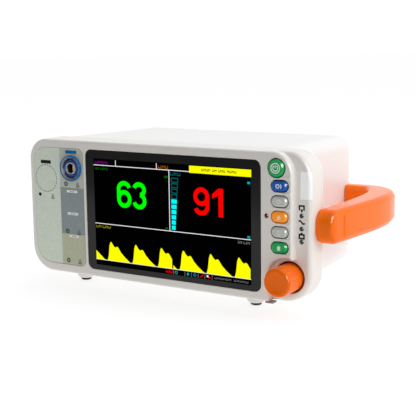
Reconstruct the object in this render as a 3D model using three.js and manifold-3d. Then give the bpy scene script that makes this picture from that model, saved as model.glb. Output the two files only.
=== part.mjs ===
// Bedside patient monitor: a stepped front shell with a 7 inch screen, an oximeter socket, a row of keys
// and a rotary knob, a rear housing with the electronics, and a carrying handle on the right side.
//
// Everything is laid out in the display frame, in millimetres: X to the reader's right, Y from the front
// face towards the back, Z up, zero at the centre of the display on the front face. The last group
// moves the monitor so that it stands on its feet with the origin under the middle of its box.

import * as THREE from 'three';
import { mergeVertices } from 'three/addons/utils/BufferGeometryUtils.js';
import Module from 'manifold-3d';

const wasm = await Module();
wasm.setup();

// ---------------------------------------------------------------- driving dimensions

const GAP = 0.3; // left between pieces that touch

// Front shell
const SHELL = { left: -148.1, right: 124, bottom: -56.9, top: 59.7 };
const SHELL_CORNERS = { topRight: 20, topLeft: 18, bottomLeft: 22, bottomRight: 23 };
const SHELL_DEPTH = 24.6; // front face to the seam
const SHELL_WALL = 2.6;
const FRONT_WALL = 3.6;
const PANEL_EDGE = 2.4; // rounding of the raised panel's edge
const PANEL_RIGHT = 111.3; // the raised panel stops here, and the strip beside it is set back
const PANEL_CORNERS = { topRight: 17, topLeft: 18, bottomLeft: 22, bottomRight: 3 };
const STRIP_SETBACK = 7;
const STRIP_EDGE = 3.8;

// Rear housing
const REAR_FRONT = { left: -136, right: 97, bottom: -56.9, top: 59.4 };
const REAR_BACK = { left: -130.5, right: 87.3, bottom: -56, top: 57.6 };
const REAR_CORNERS = { topRight: 12, topLeft: 12, bottomLeft: 15, bottomRight: 15 };
const REAR_DEPTH = 159.5; // front face to the back of the housing
const REAR_EDGE = 7;
const FLANGE_DEPTH = 4; // the housing's front flange closes the wider front shell
const FLANGE_EDGE = 2.4;

// Screen
const DISPLAY = { left: -76.2, right: 76.2, bottom: -45.72, top: 45.72 }; // 7 inch, 800 by 480
const WINDOW = { left: -85.2, right: 84.5, bottom: -49.9, top: 52.5 };
const WINDOW_CORNER = 5.5;
const WINDOW_SEAT = 2.2; // depth of the recess that holds the window and its mask
const GLASS_FRONT = 0.1;
const GLASS_THICKNESS = 1.3;
const MASK_THICKNESS = 0.2;
const LCD_MODULE = { left: -83, right: 83, bottom: -51, top: 51 };
const LCD_FRONT = FRONT_WALL + GAP;
const LCD_THICKNESS = 5.8;

// Sensor label panel and oximeter connector
const LABEL = { left: -143.1, right: -88.4, bottom: -49.1, top: 52.5 };
const LABEL_CORNERS = { topRight: 5, topLeft: 13, bottomLeft: 17, bottomRight: 5 };
const LABEL_SEAT = 1.1;
const LABEL_FRONT = 0.1;
const CONNECTOR = { x: -101, z: 35.6, hole: 10.4 };

// Keys
const KEY_CLEARANCE = 0.5; // dark gap round each key
const KEY_FRONT = -1.3; // how far the caps stand out of the panel
const KEY_FLANGE = 1; // the flange behind the panel is this much wider than the cap
const KEY_FLANGE_THICKNESS = 1.2;
const KEY_STEM_END = 8.2;
const POWER_KEY = { x: 98.1, z: 47.4, radius: 7 };
const OVAL_KEY = { x: 100.9, top: 33.9, pitch: 11.8, width: 14, height: 8.3 };
const POCKET = { left: 100, right: 110.2, height: 9.8, depth: 0.8 };
const POWER_POCKET = { left: 98.1, right: 110, bottom: 40.9, top: 52.4 };

// Indicator lamps
const LAMP_RADIUS = 1.65;
const STATUS_LAMPS = { x: 116, top: 11.4, pitch: 9.95 };
const FAULT_LAMP = { x: 89.7, z: 10.5 };
const ALARM = { left: 115, bottom: 23.8, top: 45.2, back: 9.9 };

// Knob and its rotary encoder
const KNOB = { x: 106, z: -37.2, radius: 11.3, front: -14.6, back: 10.3 };
const KNOB_POCKET = { radius: 12.6, depth: 4.2 };
const KNOB_CUT_RADIUS = 15.8; // round step in the raised panel beside the knob
const SHAFT_RADIUS = 3;
const BUSHING_RADIUS = 4.6;

// Handle: a thick bar outside the right wall, held at both ends
const HANDLE_BOTTOM = -11.2;
const HANDLE_TOP = 15.4;

// Feet and underside
const FLOOR = -65;
const FRONT_FEET = { left: -101.4, right: 71.4, y: 16.2 };
const BACK_FEET = { left: -90, right: 60, y: 132 };
const FOOT_CUP = { top: 8.4, middle: 7.7, bottom: 6.2, height: 5.9 };
const FOOT_PAD = { radius: 4.7, height: 4.2 };

// Where the display frame's zero stands over the floor, from the outer box of the whole object
const OUTER = { left: SHELL.left, right: 144.55, front: KNOB.front - 0.6, back: REAR_DEPTH };
const STAND = [
  -(OUTER.left + OUTER.right) / 2,
  -(OUTER.front + OUTER.back) / 2,
  -FLOOR,
];

// ---------------------------------------------------------------- solids from three.js geometry

/** A closed solid from a geometry: shared corners merged, slivers dropped, faces turned outwards. */
function solidOf(geometry) {
  const bare = new THREE.BufferGeometry();
  bare.setAttribute('position', geometry.getAttribute('position').clone());
  if (geometry.index) bare.setIndex(geometry.index.clone());
  const merged = mergeVertices(bare, 1e-4);
  const vertices = merged.getAttribute('position').array;
  const index = merged.index.array;
  const faces = [];
  let volume = 0;
  for (let i = 0; i < index.length; i += 3) {
    const [a, b, c] = [index[i], index[i + 1], index[i + 2]];
    if (a === b || b === c || c === a) continue;
    faces.push(a, b, c);
    const corner = [a, b, c].map((k) => new THREE.Vector3().fromArray(vertices, 3 * k));
    volume += corner[0].dot(corner[1].cross(corner[2]));
  }
  if (volume < 0) faces.reverse();
  const mesh = new wasm.Mesh({
    numProp: 3,
    vertProperties: new Float32Array(vertices),
    triVerts: new Uint32Array(faces),
  });
  return new wasm.Manifold(mesh);
}

/** A named mesh of a solid, in a material of its own. */
function part(name, solid, look, [x, y, z] = [0, 0, 0]) {
  const { vertProperties, triVerts } = solid.getMesh();
  const geometry = new THREE.BufferGeometry();
  geometry.setAttribute('position', new THREE.BufferAttribute(new Float32Array(vertProperties), 3));
  geometry.setIndex(new THREE.BufferAttribute(new Uint32Array(triVerts), 1));
  geometry.computeVertexNormals();
  const mesh = new THREE.Mesh(geometry, new THREE.MeshStandardMaterial(look));
  mesh.name = name;
  mesh.position.set(x, y, z);
  return mesh;
}

/** A group of the given meshes and groups. */
function groupOf(...members) {
  const group = new THREE.Group();
  group.add(...members);
  return group;
}

/** One solid joined from several. */
function join(...solids) {
  return solids.reduce((whole, next) => whole.add(next));
}

/** The first solid with all the others cut away. */
function cut(solid, ...tools) {
  return tools.reduce((rest, tool) => rest.subtract(tool), solid);
}

/** A box between two corners. */
function box([x0, x1], [y0, y1], [z0, z1]) {
  const geometry = new THREE.BoxGeometry(x1 - x0, y1 - y0, z1 - z0);
  geometry.translate((x0 + x1) / 2, (y0 + y1) / 2, (z0 + z1) / 2);
  return solidOf(geometry);
}

/** A rod along Y, centred on (x, z). */
function rodY(x, z, radius, [y0, y1], sides = 24) {
  const geometry = new THREE.CylinderGeometry(radius, radius, y1 - y0, sides);
  geometry.translate(x, (y0 + y1) / 2, z);
  return solidOf(geometry);
}

/** A rod along Z, centred on (x, y). */
function rodZ(x, y, radius, [z0, z1], sides = 20) {
  const geometry = new THREE.CylinderGeometry(radius, radius, z1 - z0, sides);
  geometry.rotateX(Math.PI / 2);
  geometry.translate(x, y, (z0 + z1) / 2);
  return solidOf(geometry);
}

/** A rod along X, centred on (y, z). */
function rodX(y, z, radius, [x0, x1], sides = 16) {
  const geometry = new THREE.CylinderGeometry(radius, radius, x1 - x0, sides);
  geometry.rotateZ(Math.PI / 2);
  geometry.translate((x0 + x1) / 2, y, z);
  return solidOf(geometry);
}

/** A turned solid about the Y axis through (x, z), from [radius, y] pairs. */
function turnedY(x, z, profile, sides = 32) {
  const geometry = new THREE.LatheGeometry(profile.map(([r, y]) => new THREE.Vector2(r, y)), sides);
  geometry.translate(x, 0, z);
  return solidOf(geometry);
}

/** A turned solid about the upright axis through (x, y), from [radius, z] pairs. */
function turnedZ(x, y, profile, sides = 20) {
  const geometry = new THREE.LatheGeometry(profile.map(([r, z]) => new THREE.Vector2(r, z)), sides);
  geometry.rotateX(Math.PI / 2);
  geometry.translate(x, y, 0);
  return solidOf(geometry);
}

/** A rectangle made smaller by the same amount on every side, or larger if the amount is negative. */
function inset({ left, right, bottom, top }, amount) {
  return { left: left + amount, right: right - amount, bottom: bottom + amount, top: top - amount };
}

/** Corner radii made smaller by an amount, kept above a least radius. */
function insetCorners(corners, amount) {
  const least = 0.4;
  return Object.fromEntries(
    Object.entries(corners).map(([corner, radius]) => [corner, Math.max(radius - amount, least)]),
  );
}

/** The same radius at all four corners. */
function evenCorners(radius) {
  return { topRight: radius, topLeft: radius, bottomLeft: radius, bottomRight: radius };
}

/** Points round a rectangle with rounded corners, counter-clockwise from the right side's top. */
function roundedOutline(rect, corners, steps = 6) {
  const centres = [
    [rect.right - corners.topRight, rect.top - corners.topRight, corners.topRight],
    [rect.left + corners.topLeft, rect.top - corners.topLeft, corners.topLeft],
    [rect.left + corners.bottomLeft, rect.bottom + corners.bottomLeft, corners.bottomLeft],
    [rect.right - corners.bottomRight, rect.bottom + corners.bottomRight, corners.bottomRight],
  ];
  return centres.flatMap(([x, z, radius], quarter) =>
    Array.from({ length: steps + 1 }, (_, step) => {
      const angle = ((quarter + step / steps) * Math.PI) / 2;
      return new THREE.Vector2(x + radius * Math.cos(angle), z + radius * Math.sin(angle));
    }),
  );
}

/** A flat plate with an outline in X and Z, between two depths. */
function plateY(outline, [y0, y1]) {
  const geometry = new THREE.ExtrudeGeometry(new THREE.Shape(outline), {
    depth: y1 - y0,
    bevelEnabled: false,
  });
  geometry.translate(0, 0, -y1);
  geometry.rotateX(Math.PI / 2);
  return solidOf(geometry);
}

/** A rectangular plate with rounded corners, between two depths. */
function roundedPlate(rect, corners, depths, steps = 4) {
  return plateY(roundedOutline(rect, corners, steps), depths);
}

/** A solid skinned over rings with equal numbers of points, closed by a flat fan at each end. */
function loft(rings) {
  const count = rings[0].length;
  const index = [];
  for (let ring = 0; ring + 1 < rings.length; ring += 1) {
    for (let i = 0; i < count; i += 1) {
      const next = (i + 1) % count;
      const [a, b] = [ring * count + i, ring * count + next];
      const [c, d] = [a + count, b + count];
      index.push(a, b, d, a, d, c);
    }
  }
  const last = (rings.length - 1) * count;
  for (let i = 1; i + 1 < count; i += 1) {
    index.push(0, i + 1, i);
    index.push(last, last + i, last + i + 1);
  }
  const geometry = new THREE.BufferGeometry();
  const places = rings.flat().flatMap((point) => point.toArray());
  geometry.setAttribute('position', new THREE.Float32BufferAttribute(places, 3));
  geometry.setIndex(index);
  return solidOf(geometry);
}

/** A ring of points at one depth, from an outline in X and Z. */
function ringAt(y, outline) {
  return outline.map((point) => new THREE.Vector3(point.x, y, point.y));
}

/** A rounded block from y0 to y1, with its edge at y0 rounded over. */
function roundEdged(rect, corners, [y0, y1], edge, steps = 7, edgeSteps = 3) {
  const rings = [];
  const inwards = Math.sign(y1 - y0);
  for (let step = 0; step <= edgeSteps; step += 1) {
    const angle = ((step / edgeSteps) * Math.PI) / 2;
    const drawIn = edge * (1 - Math.sin(angle));
    const y = y0 + inwards * edge * (1 - Math.cos(angle));
    rings.push(ringAt(y, roundedOutline(inset(rect, drawIn), insetCorners(corners, drawIn), steps)));
  }
  rings.push(ringAt(y1, roundedOutline(rect, corners, steps)));
  return loft(rings);
}

// ---------------------------------------------------------------- front shell

/** The outline of the raised panel: the shell's own edge on three sides, PANEL_RIGHT on the fourth. */
const PANEL = { ...SHELL, right: PANEL_RIGHT };

/** The corner of the raised panel that is cut away round the knob, grown by a margin. */
function knobCut(margin, [y0, y1]) {
  const radius = KNOB_CUT_RADIUS + margin;
  const outside = 20; // how far the cut runs past the shell
  const below = box(
    [KNOB.x - radius, SHELL.right + outside],
    [y0, y1],
    [SHELL.bottom - outside, KNOB.z + margin],
  );
  return join(rodY(KNOB.x, KNOB.z, radius, [y0, y1], 40), below);
}

/** The outside of the front shell: the set-back base and the raised panel in front of it. */
function shellOutside() {
  const base = roundEdged(SHELL, SHELL_CORNERS, [STRIP_SETBACK, SHELL_DEPTH], STRIP_EDGE);
  const panel = roundEdged(PANEL, PANEL_CORNERS, [0, SHELL_DEPTH], PANEL_EDGE);
  return join(base, cut(panel, knobCut(0, [-1, SHELL_DEPTH + 1])));
}

/** The hollow inside the front shell, open at the back. */
function shellHollow() {
  const back = SHELL_DEPTH + 1;
  const stripBack = STRIP_SETBACK + SHELL_WALL;
  const insideEdge = 1.5; // a chamfer along the inside edge is enough
  const base = roundEdged(
    inset(SHELL, SHELL_WALL),
    insetCorners(SHELL_CORNERS, SHELL_WALL),
    [stripBack, back],
    insideEdge,
    7,
    1,
  );
  const sideWall = 1.8; // the panel's own right wall, beside the keys
  const panelRect = { ...inset(PANEL, SHELL_WALL), right: PANEL_RIGHT - sideWall };
  const panel = roundedPlate(panelRect, insetCorners(PANEL_CORNERS, SHELL_WALL), [FRONT_WALL, back], 7);
  return join(base, cut(panel, knobCut(SHELL_WALL, [-1, stripBack])));
}

/** The outline of an oval key's cap, grown by a margin, about its own centre. */
function ovalOutline(margin, steps = 4) {
  const [halfWidth, halfHeight] = [OVAL_KEY.width / 2 + margin, OVAL_KEY.height / 2 + margin];
  const rect = { left: -halfWidth, right: halfWidth, bottom: -halfHeight, top: halfHeight };
  return roundedOutline(rect, evenCorners(halfHeight - 0.05), steps);
}

/** An outline moved by x and z. */
function moved(outline, x, z) {
  return outline.map((point) => new THREE.Vector2(point.x + x, point.y + z));
}

/** Heights of the five oval keys, from the top. */
const OVAL_HEIGHTS = Array.from({ length: 5 }, (_, row) => OVAL_KEY.top - row * OVAL_KEY.pitch);

/** Heights of the three status lamps, from the top. */
const STATUS_HEIGHTS = Array.from({ length: 3 }, (_, row) => STATUS_LAMPS.top - row * STATUS_LAMPS.pitch);

/** Everything that is cut out of the panel for the keys, their pockets and the lamps. */
function keyOpenings() {
  const through = [-1, FRONT_WALL + 1];
  const powerCorners = { ...evenCorners(1.2), topRight: 9.5 };
  const openings = [
    rodY(POWER_KEY.x, POWER_KEY.z, POWER_KEY.radius + KEY_CLEARANCE, through, 32),
    roundedPlate(POWER_POCKET, powerCorners, [-1, POCKET.depth], 3),
  ];
  for (const z of OVAL_HEIGHTS) {
    openings.push(plateY(moved(ovalOutline(KEY_CLEARANCE), OVAL_KEY.x, z), through));
    const pocket = {
      left: POCKET.left,
      right: POCKET.right,
      bottom: z - POCKET.height / 2,
      top: z + POCKET.height / 2,
    };
    openings.push(roundedPlate(pocket, evenCorners(1.2), [-1, POCKET.depth], 2));
  }
  openings.push(rodY(FAULT_LAMP.x, FAULT_LAMP.z, LAMP_RADIUS + GAP, through, 12));
  for (const z of STATUS_HEIGHTS) {
    openings.push(rodY(STATUS_LAMPS.x, z, LAMP_RADIUS + GAP, [STRIP_SETBACK - 1, STRIP_SETBACK + 4], 12));
  }
  return openings;
}

/** The window for the alarm lamp, at the corner of the strip and the right wall. */
function alarmWindow(margin) {
  const outside = 3;
  return box(
    [ALARM.left - margin, SHELL.right + outside],
    [STRIP_SETBACK - outside, ALARM.back + margin],
    [ALARM.bottom - margin, ALARM.top + margin],
  );
}

// Two posts behind the sensor side reach back to the chassis
const CHASSIS_FRONT = 29.9;
const CHASSIS_POSTS = [
  [-118, 46],
  [-118, -40],
];
const CHASSIS_POST_RADIUS = 3.5;

/** Front shell with the seats for the screen, label, connector, keys, lamps and knob. */
function frontBezel() {
  const posts = CHASSIS_POSTS.map(([x, z]) =>
    rodY(x, z, CHASSIS_POST_RADIUS, [FRONT_WALL - 1, CHASSIS_FRONT - GAP], 12),
  );
  const glassSeat = roundedPlate(
    inset(WINDOW, -GAP),
    evenCorners(WINDOW_CORNER + GAP),
    [-1, WINDOW_SEAT],
  );
  const displayOpening = roundedPlate(inset(DISPLAY, -2.2), evenCorners(1.5), [0, FRONT_WALL + 1], 2);
  const labelCorners = insetCorners(LABEL_CORNERS, -GAP);
  const labelSeat = roundedPlate(inset(LABEL, -GAP), labelCorners, [-1, LABEL_SEAT], 5);
  const connectorHole = rodY(CONNECTOR.x, CONNECTOR.z, CONNECTOR.hole, [-1, FRONT_WALL + 1], 32);
  const pocketBack = STRIP_SETBACK + KNOB_POCKET.depth;
  const cupRadius = KNOB_POCKET.radius + SHELL_WALL;
  const pocketCup = rodY(KNOB.x, KNOB.z, cupRadius, [STRIP_SETBACK + 1, pocketBack + SHELL_WALL], 32);
  const knobPocket = rodY(KNOB.x, KNOB.z, KNOB_POCKET.radius, [STRIP_SETBACK - 1, pocketBack], 40);
  const bushingHole = rodY(KNOB.x, KNOB.z, BUSHING_RADIUS + 0.4, [STRIP_SETBACK - 1, pocketBack + 4], 20);
  const cups = [FRONT_FEET.left, FRONT_FEET.right].map((x) => footCup(x, FRONT_FEET.y));
  const cupHollows = [FRONT_FEET.left, FRONT_FEET.right].map((x) => footHollow(x, FRONT_FEET.y));
  const shell = cut(shellOutside(), shellHollow());
  const solid = cut(
    join(shell, pocketCup, ...posts, ...cups),
    glassSeat,
    displayOpening,
    labelSeat,
    connectorHole,
    knobPocket,
    bushingHole,
    alarmWindow(0),
    handleScrewHole(HANDLE_SCREWS.front),
    ...cupHollows,
    ...keyOpenings(),
  );
  return part('front_bezel', solid, { color: 0xcfc8c2, roughness: 0.5, metalness: 0 });
}

/** Soft seal that runs round inside the seam. */
function seamGasket() {
  const rim = inset(SHELL, SHELL_WALL + GAP);
  const rimCorners = insetCorners(SHELL_CORNERS, SHELL_WALL + GAP);
  const [width, thickness] = [1.8, 2];
  const outside = roundedPlate(rim, rimCorners, [SHELL_DEPTH - thickness, SHELL_DEPTH], 5);
  const through = [SHELL_DEPTH - thickness - 1, SHELL_DEPTH + 1];
  const inside = roundedPlate(inset(rim, width), insetCorners(rimCorners, width), through, 5);
  const ring = cut(outside, inside);
  return part('seam_gasket', ring, { color: 0x4a4a4c, roughness: 0.9, metalness: 0 });
}

// ---------------------------------------------------------------- rear housing

const REAR_WALL = 2.6;
const CASE_WELL_DEPTH = 10; // the case screws sit at the bottom of wells in the back wall
const TERMINAL_BAY = { left: -108, right: 14, bottom: -46, top: -12 };
const BAY_DEPTH = 8;
const CASE_SCREWS = [
  [-112, 41],
  [73, 41],
  [-112, -2],
  [73, -2],
];
const BATTERY_HATCH = { x: [2, 74], y: [46, 122] };
const MOUNT_PLATE = { x: [-95, -35], y: [52, 112] };
const RATING_PLATE = { left: 22, right: 78, bottom: -46, top: -14 };

/** A rectangle part of the way from the housing's front section to its back one. */
function rearSection(share) {
  const mix = (side) => THREE.MathUtils.lerp(REAR_FRONT[side], REAR_BACK[side], share);
  return { left: mix('left'), right: mix('right'), bottom: mix('bottom'), top: mix('top') };
}

/** The housing's tapered block, made smaller all round by an inset, with its back edge rounded over. */
function rearBlock(front, back, smaller, edge) {
  const corners = insetCorners(REAR_CORNERS, smaller);
  const steps = 5;
  const rings = [ringAt(front, roundedOutline(inset(rearSection(0), smaller), corners, steps))];
  const edgeSteps = 3;
  for (let step = 0; step <= edgeSteps; step += 1) {
    const angle = ((step / edgeSteps) * Math.PI) / 2;
    const drawIn = edge * (1 - Math.cos(angle));
    const y = back - edge * (1 - Math.sin(angle));
    const rect = inset(rearSection(y / REAR_DEPTH), smaller + drawIn);
    rings.push(ringAt(y, roundedOutline(rect, insetCorners(corners, drawIn), steps)));
  }
  return loft(rings);
}

/** A plate round the housing's front that matches the wider front shell, rounded at its back. */
function rearFlange() {
  const [front, back] = [SHELL_DEPTH + GAP, SHELL_DEPTH + GAP + FLANGE_DEPTH];
  return roundEdged(SHELL, SHELL_CORNERS, [back, front], FLANGE_EDGE, 7, 2);
}

/** Upright vent slots through the back wall, with half-round ends. */
function ventSlots() {
  const [slot, height, pitch, count] = [3.4, 26, 9, 11];
  const [middle, bottom] = [-18, 18];
  return Array.from({ length: count }, (_, i) => {
    const x = middle + (i - (count - 1) / 2) * pitch;
    const rect = { left: x - slot / 2, right: x + slot / 2, bottom, top: bottom + height };
    return roundedPlate(rect, evenCorners(slot / 2 - 0.05), [REAR_DEPTH - 5, REAR_DEPTH + 1], 2);
  });
}

/** Level slots through the left wall, in front of the speaker. */
function speakerSlots() {
  const [slot, pitch, count] = [2.4, 6, 6];
  return Array.from({ length: count }, (_, i) => {
    const z = SPEAKER.z + (i - (count - 1) / 2) * pitch;
    const reach = Math.sqrt(SPEAKER.radius ** 2 - (z - SPEAKER.z) ** 2) - 1;
    return box(
      [REAR_FRONT.left - 2, SPEAKER.x - 3],
      [SPEAKER.y - reach, SPEAKER.y + reach],
      [z - slot / 2, z + slot / 2],
    );
  });
}

const SPEAKER = { x: -121, y: 78, z: 12, radius: 19 };

/** A recess in the back wall with its own side walls, where the sockets are. */
function terminalBay() {
  const wall = 2.2;
  const front = REAR_DEPTH - BAY_DEPTH - wall;
  const outside = roundedPlate(inset(TERMINAL_BAY, -wall), evenCorners(4), [front, REAR_DEPTH - 1], 3);
  const inside = roundedPlate(TERMINAL_BAY, evenCorners(2.5), [front - 1, REAR_DEPTH + 1], 3);
  return { outside, inside };
}

/** The battery hatch: a thick frame inside the bottom wall, the cover's seat in it and the way through. */
function batteryHatch() {
  const [x0, x1] = BATTERY_HATCH.x;
  const [y0, y1] = BATTERY_HATCH.y;
  const bottom = REAR_FRONT.bottom;
  const [frameWidth, sideLedge, endLedge, seatDepth] = [3, 4, 10, 3.1];
  const outside = bottom - 5;
  const frame = box(
    [x0 - frameWidth, x1 + frameWidth],
    [y0 - frameWidth, y1 + frameWidth],
    [bottom + 1.2, bottom + 5.4],
  );
  const seat = box([x0, x1], [y0, y1], [outside, bottom + seatDepth]);
  const opening = box(
    [x0 + sideLedge, x1 - sideLedge],
    [y0 + endLedge, y1 - endLedge],
    [outside, bottom + 8],
  );
  const screwHoles = BATTERY_SCREWS.map(([x, y]) => rodZ(x, y, 1.7, [bottom, bottom + 8], 8));
  return [frame, join(seat, ...screwHoles), opening];
}

/** Housing for the electronics, open at the front, with its bay, vents, wells and hatches. */
function rearHousing() {
  const front = SHELL_DEPTH + GAP;
  const outside = rearBlock(front, REAR_DEPTH, 0, REAR_EDGE);
  const hollow = rearBlock(front - 1, REAR_DEPTH - REAR_WALL, REAR_WALL, REAR_EDGE - REAR_WALL);
  const bay = terminalBay();
  const wellFloor = REAR_DEPTH - CASE_WELL_DEPTH;
  const [boss, well, hole] = [6.4, 4.3, 2.3]; // radii
  const bosses = CASE_SCREWS.map(([x, z]) => rodY(x, z, boss, [wellFloor - 3, REAR_DEPTH - 1], 14));
  const wells = CASE_SCREWS.map(([x, z]) => rodY(x, z, well, [wellFloor, REAR_DEPTH + 1], 14));
  const holes = CASE_SCREWS.map(([x, z]) => rodY(x, z, hole, [wellFloor - 5, wellFloor + 1], 10));
  const [hatchLedge, hatchSeat, hatchOpening] = batteryHatch();
  const plateHole = box(MOUNT_PLATE.x, MOUNT_PLATE.y, [REAR_FRONT.bottom - 5, REAR_FRONT.bottom + 6]);
  const ratingSeat = roundedPlate(RATING_PLATE, evenCorners(3), [REAR_DEPTH - 0.8, REAR_DEPTH + 1], 3);
  const cups = [BACK_FEET.left, BACK_FEET.right].map((x) => footCup(x, BACK_FEET.y));
  const cupHollows = [BACK_FEET.left, BACK_FEET.right].map((x) => footHollow(x, BACK_FEET.y));
  const solid = cut(
    join(cut(join(outside, rearFlange()), hollow), bay.outside, hatchLedge, ...bosses, ...cups),
    bay.inside,
    hatchSeat,
    hatchOpening,
    plateHole,
    ratingSeat,
    handleScrewHole(HANDLE_SCREWS.back),
    ...wells,
    ...holes,
    ...cupHollows,
    ...ventSlots(),
    ...speakerSlots(),
  );
  return part('rear_housing', solid, { color: 0xe9e6e3, roughness: 0.5, metalness: 0 });
}

/** Long screws that hold the rear housing on the chassis. */
function caseScrews() {
  const seat = REAR_DEPTH - CASE_WELL_DEPTH + GAP;
  return CASE_SCREWS.map(([x, z], i) => {
    const head = rodY(0, 0, 3.6, [0, 2.8], 14);
    const shank = rodY(0, 0, 1.9, [-24, 0.1], 8);
    const slot = box([-2.6, 2.6], [1.8, 3.5], [-0.5, 0.5]);
    const cross = box([-0.5, 0.5], [1.8, 3.5], [-2.6, 2.6]);
    const look = { color: 0x9a9ca0, roughness: 0.35, metalness: 1 };
    return part(`case_screw_${i + 1}`, cut(join(head, shank), slot, cross), look, [x, seat, z]);
  });
}

/** Blank plate on the back where the ratings would be printed. */
function ratingPlate() {
  const depths = [REAR_DEPTH - 0.5, REAR_DEPTH - 0.1];
  const solid = roundedPlate(inset(RATING_PLATE, GAP), evenCorners(2.7), depths, 3);
  return part('rating_plate', solid, { color: 0xd4d6d8, roughness: 0.4, metalness: 0.3 });
}

// ---------------------------------------------------------------- screen

/** Front window: one sheet of glass. */
function screenGlass() {
  const depths = [GLASS_FRONT, GLASS_FRONT + GLASS_THICKNESS];
  const solid = roundedPlate(WINDOW, evenCorners(WINDOW_CORNER), depths);
  return part('screen_glass', solid, { color: 0x20211f, roughness: 0.12, metalness: 0 });
}

/** Black frame behind the glass, round the visible area. */
function screenMask() {
  const front = GLASS_FRONT + GLASS_THICKNESS + GAP;
  const smaller = 0.4;
  const corners = evenCorners(WINDOW_CORNER - smaller);
  const frame = roundedPlate(inset(WINDOW, smaller), corners, [front, front + MASK_THICKNESS]);
  const opening = roundedPlate(DISPLAY, evenCorners(0.6), [front - 1, front + 2], 1);
  return part('screen_mask', cut(frame, opening), { color: 0x101010, roughness: 0.6, metalness: 0 });
}

/** Display module. */
function lcdPanel() {
  const solid = roundedPlate(LCD_MODULE, evenCorners(1), [LCD_FRONT, LCD_FRONT + LCD_THICKNESS], 1);
  return part('lcd_panel', solid, { color: 0x1b1d1c, roughness: 0.4, metalness: 0 });
}

/** Sheet-metal bracket that clamps the display module to the bezel. */
function lcdBracket() {
  const front = LCD_FRONT + LCD_THICKNESS + GAP;
  const rect = { left: -86, right: 85.4, bottom: -52, top: 53 };
  const plate = roundedPlate(rect, evenCorners(3), [front, front + 1.2], 2);
  const holes = [-42, 0, 42].map((x) => box([x - 17, x + 17], [front - 1, front + 3], [-38, 38]));
  return part('lcd_bracket', cut(plate, ...holes), { color: 0xb8bcc0, roughness: 0.4, metalness: 1 });
}

// ---------------------------------------------------------------- sensor side

/** Printed label panel with a hole for the oximeter connector. */
function sensorOverlay() {
  const sheet = roundedPlate(LABEL, LABEL_CORNERS, [LABEL_FRONT, LABEL_SEAT - GAP], 5);
  const hole = rodY(CONNECTOR.x, CONNECTOR.z, CONNECTOR.hole, [-1, LABEL_SEAT + 1], 32);
  return part('sensor_overlay', cut(sheet, hole), { color: 0xb9c2b4, roughness: 0.45, metalness: 0 });
}

/** Ring round the oximeter socket, with a flange in front of the label. */
function spo2Collar() {
  const profile = [
    [6.8, -1.2],
    [7.6, -2.4],
    [10.4, -2.4],
    [11.3, -2],
    [11.65, -1.2],
    [11.65, -0.2],
    [9.9, -0.2],
    [9.9, 12],
    [6.8, 12],
    [6.8, -1.2],
  ];
  const solid = turnedY(0, 0, profile, 28);
  const look = { color: 0x9fb4b6, roughness: 0.4, metalness: 0 };
  return part('spo2_collar', solid, look, [CONNECTOR.x, 0, CONNECTOR.z]);
}

/** Light ring that lines the connector, with a keyway at its top. */
function spo2Socket() {
  const profile = [
    [4.4, -1.4],
    [5, -2],
    [6, -2],
    [6.4, -1.6],
    [6.4, 13],
    [4.4, 13],
    [4.4, -1.4],
  ];
  const keyway = box([-1, 1], [-3, 6], [3.8, 5.2]);
  const solid = cut(turnedY(0, 0, profile, 20), keyway);
  const look = { color: 0xd9d9d4, roughness: 0.4, metalness: 0 };
  return part('spo2_socket', solid, look, [CONNECTOR.x, 0, CONNECTOR.z]);
}

/** Black contact block at the bottom of the socket, with two rows of contact holes. */
function spo2Contacts() {
  const block = rodY(0, 0, 4.1, [4, 12.7], 24);
  const holes = [-1.4, 1.4].flatMap((z) =>
    [-2, 0, 2].map((x) => rodY(x, z, 0.55, [3, 9], 5)),
  );
  const look = { color: 0x17181a, roughness: 0.5, metalness: 0 };
  return part('spo2_contacts', cut(block, ...holes), look, [CONNECTOR.x, 0, CONNECTOR.z]);
}

// ---------------------------------------------------------------- keys and lamps

/** A key from its outlines: domed cap, flange behind the panel and a stem that presses the switch. */
function keySolid(outlineAt) {
  // the domed edge, as distance back from the front and distance in from the outline
  const crown = [
    [0, 1.3],
    [0.45, 0.4],
    [1.3, 0],
  ];
  const flangeFront = FRONT_WALL + GAP;
  const flangeBack = flangeFront + KEY_FLANGE_THICKNESS;
  const rings = crown.map(([back, drawIn]) => ringAt(KEY_FRONT + back, outlineAt(-drawIn)));
  rings.push(ringAt(flangeFront + 0.1, outlineAt(0)));
  const flange = plateY(outlineAt(KEY_FLANGE), [flangeFront, flangeBack]);
  const stem = rodY(0, 0, 2, [flangeBack - 0.1, KEY_STEM_END], 12);
  return join(loft(rings), flange, stem);
}

/** Round power key. */
function powerKey() {
  const circle = (margin) => {
    const radius = POWER_KEY.radius + margin;
    const rect = { left: -radius, right: radius, bottom: -radius, top: radius };
    return roundedOutline(rect, evenCorners(radius - 0.05), 8);
  };
  const look = { color: 0x1a9c50, roughness: 0.35, metalness: 0 };
  return part('power_key', keySolid(circle), look, [POWER_KEY.x, 0, POWER_KEY.z]);
}

const OVAL_KEYS = [
  ['settings_key', 0x0a5cb8],
  ['upper_grey_key', 0xa4aaa5],
  ['alarm_key', 0xe8742a],
  ['lower_grey_key', 0xa4aaa5],
  ['start_key', 0x1a9c50],
];

/** The five oval keys in their column. */
function ovalKeys() {
  return OVAL_KEYS.map(([name, color], row) => {
    const look = { color, roughness: 0.35, metalness: 0 };
    return part(name, keySolid(ovalOutline), look, [OVAL_KEY.x, 0, OVAL_HEIGHTS[row]]);
  });
}

/** The centres of all six keys. */
const KEY_PLACES = [[POWER_KEY.x, POWER_KEY.z], ...OVAL_HEIGHTS.map((z) => [OVAL_KEY.x, z])];
const KEY_MAT_DEPTHS = [6.9, 7.9];
const KEY_BOARD_DEPTHS = [12, 13.6];
const KEY_SWITCH_FRONT = 9.9; // a key's stem stops here when it is pressed

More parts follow.
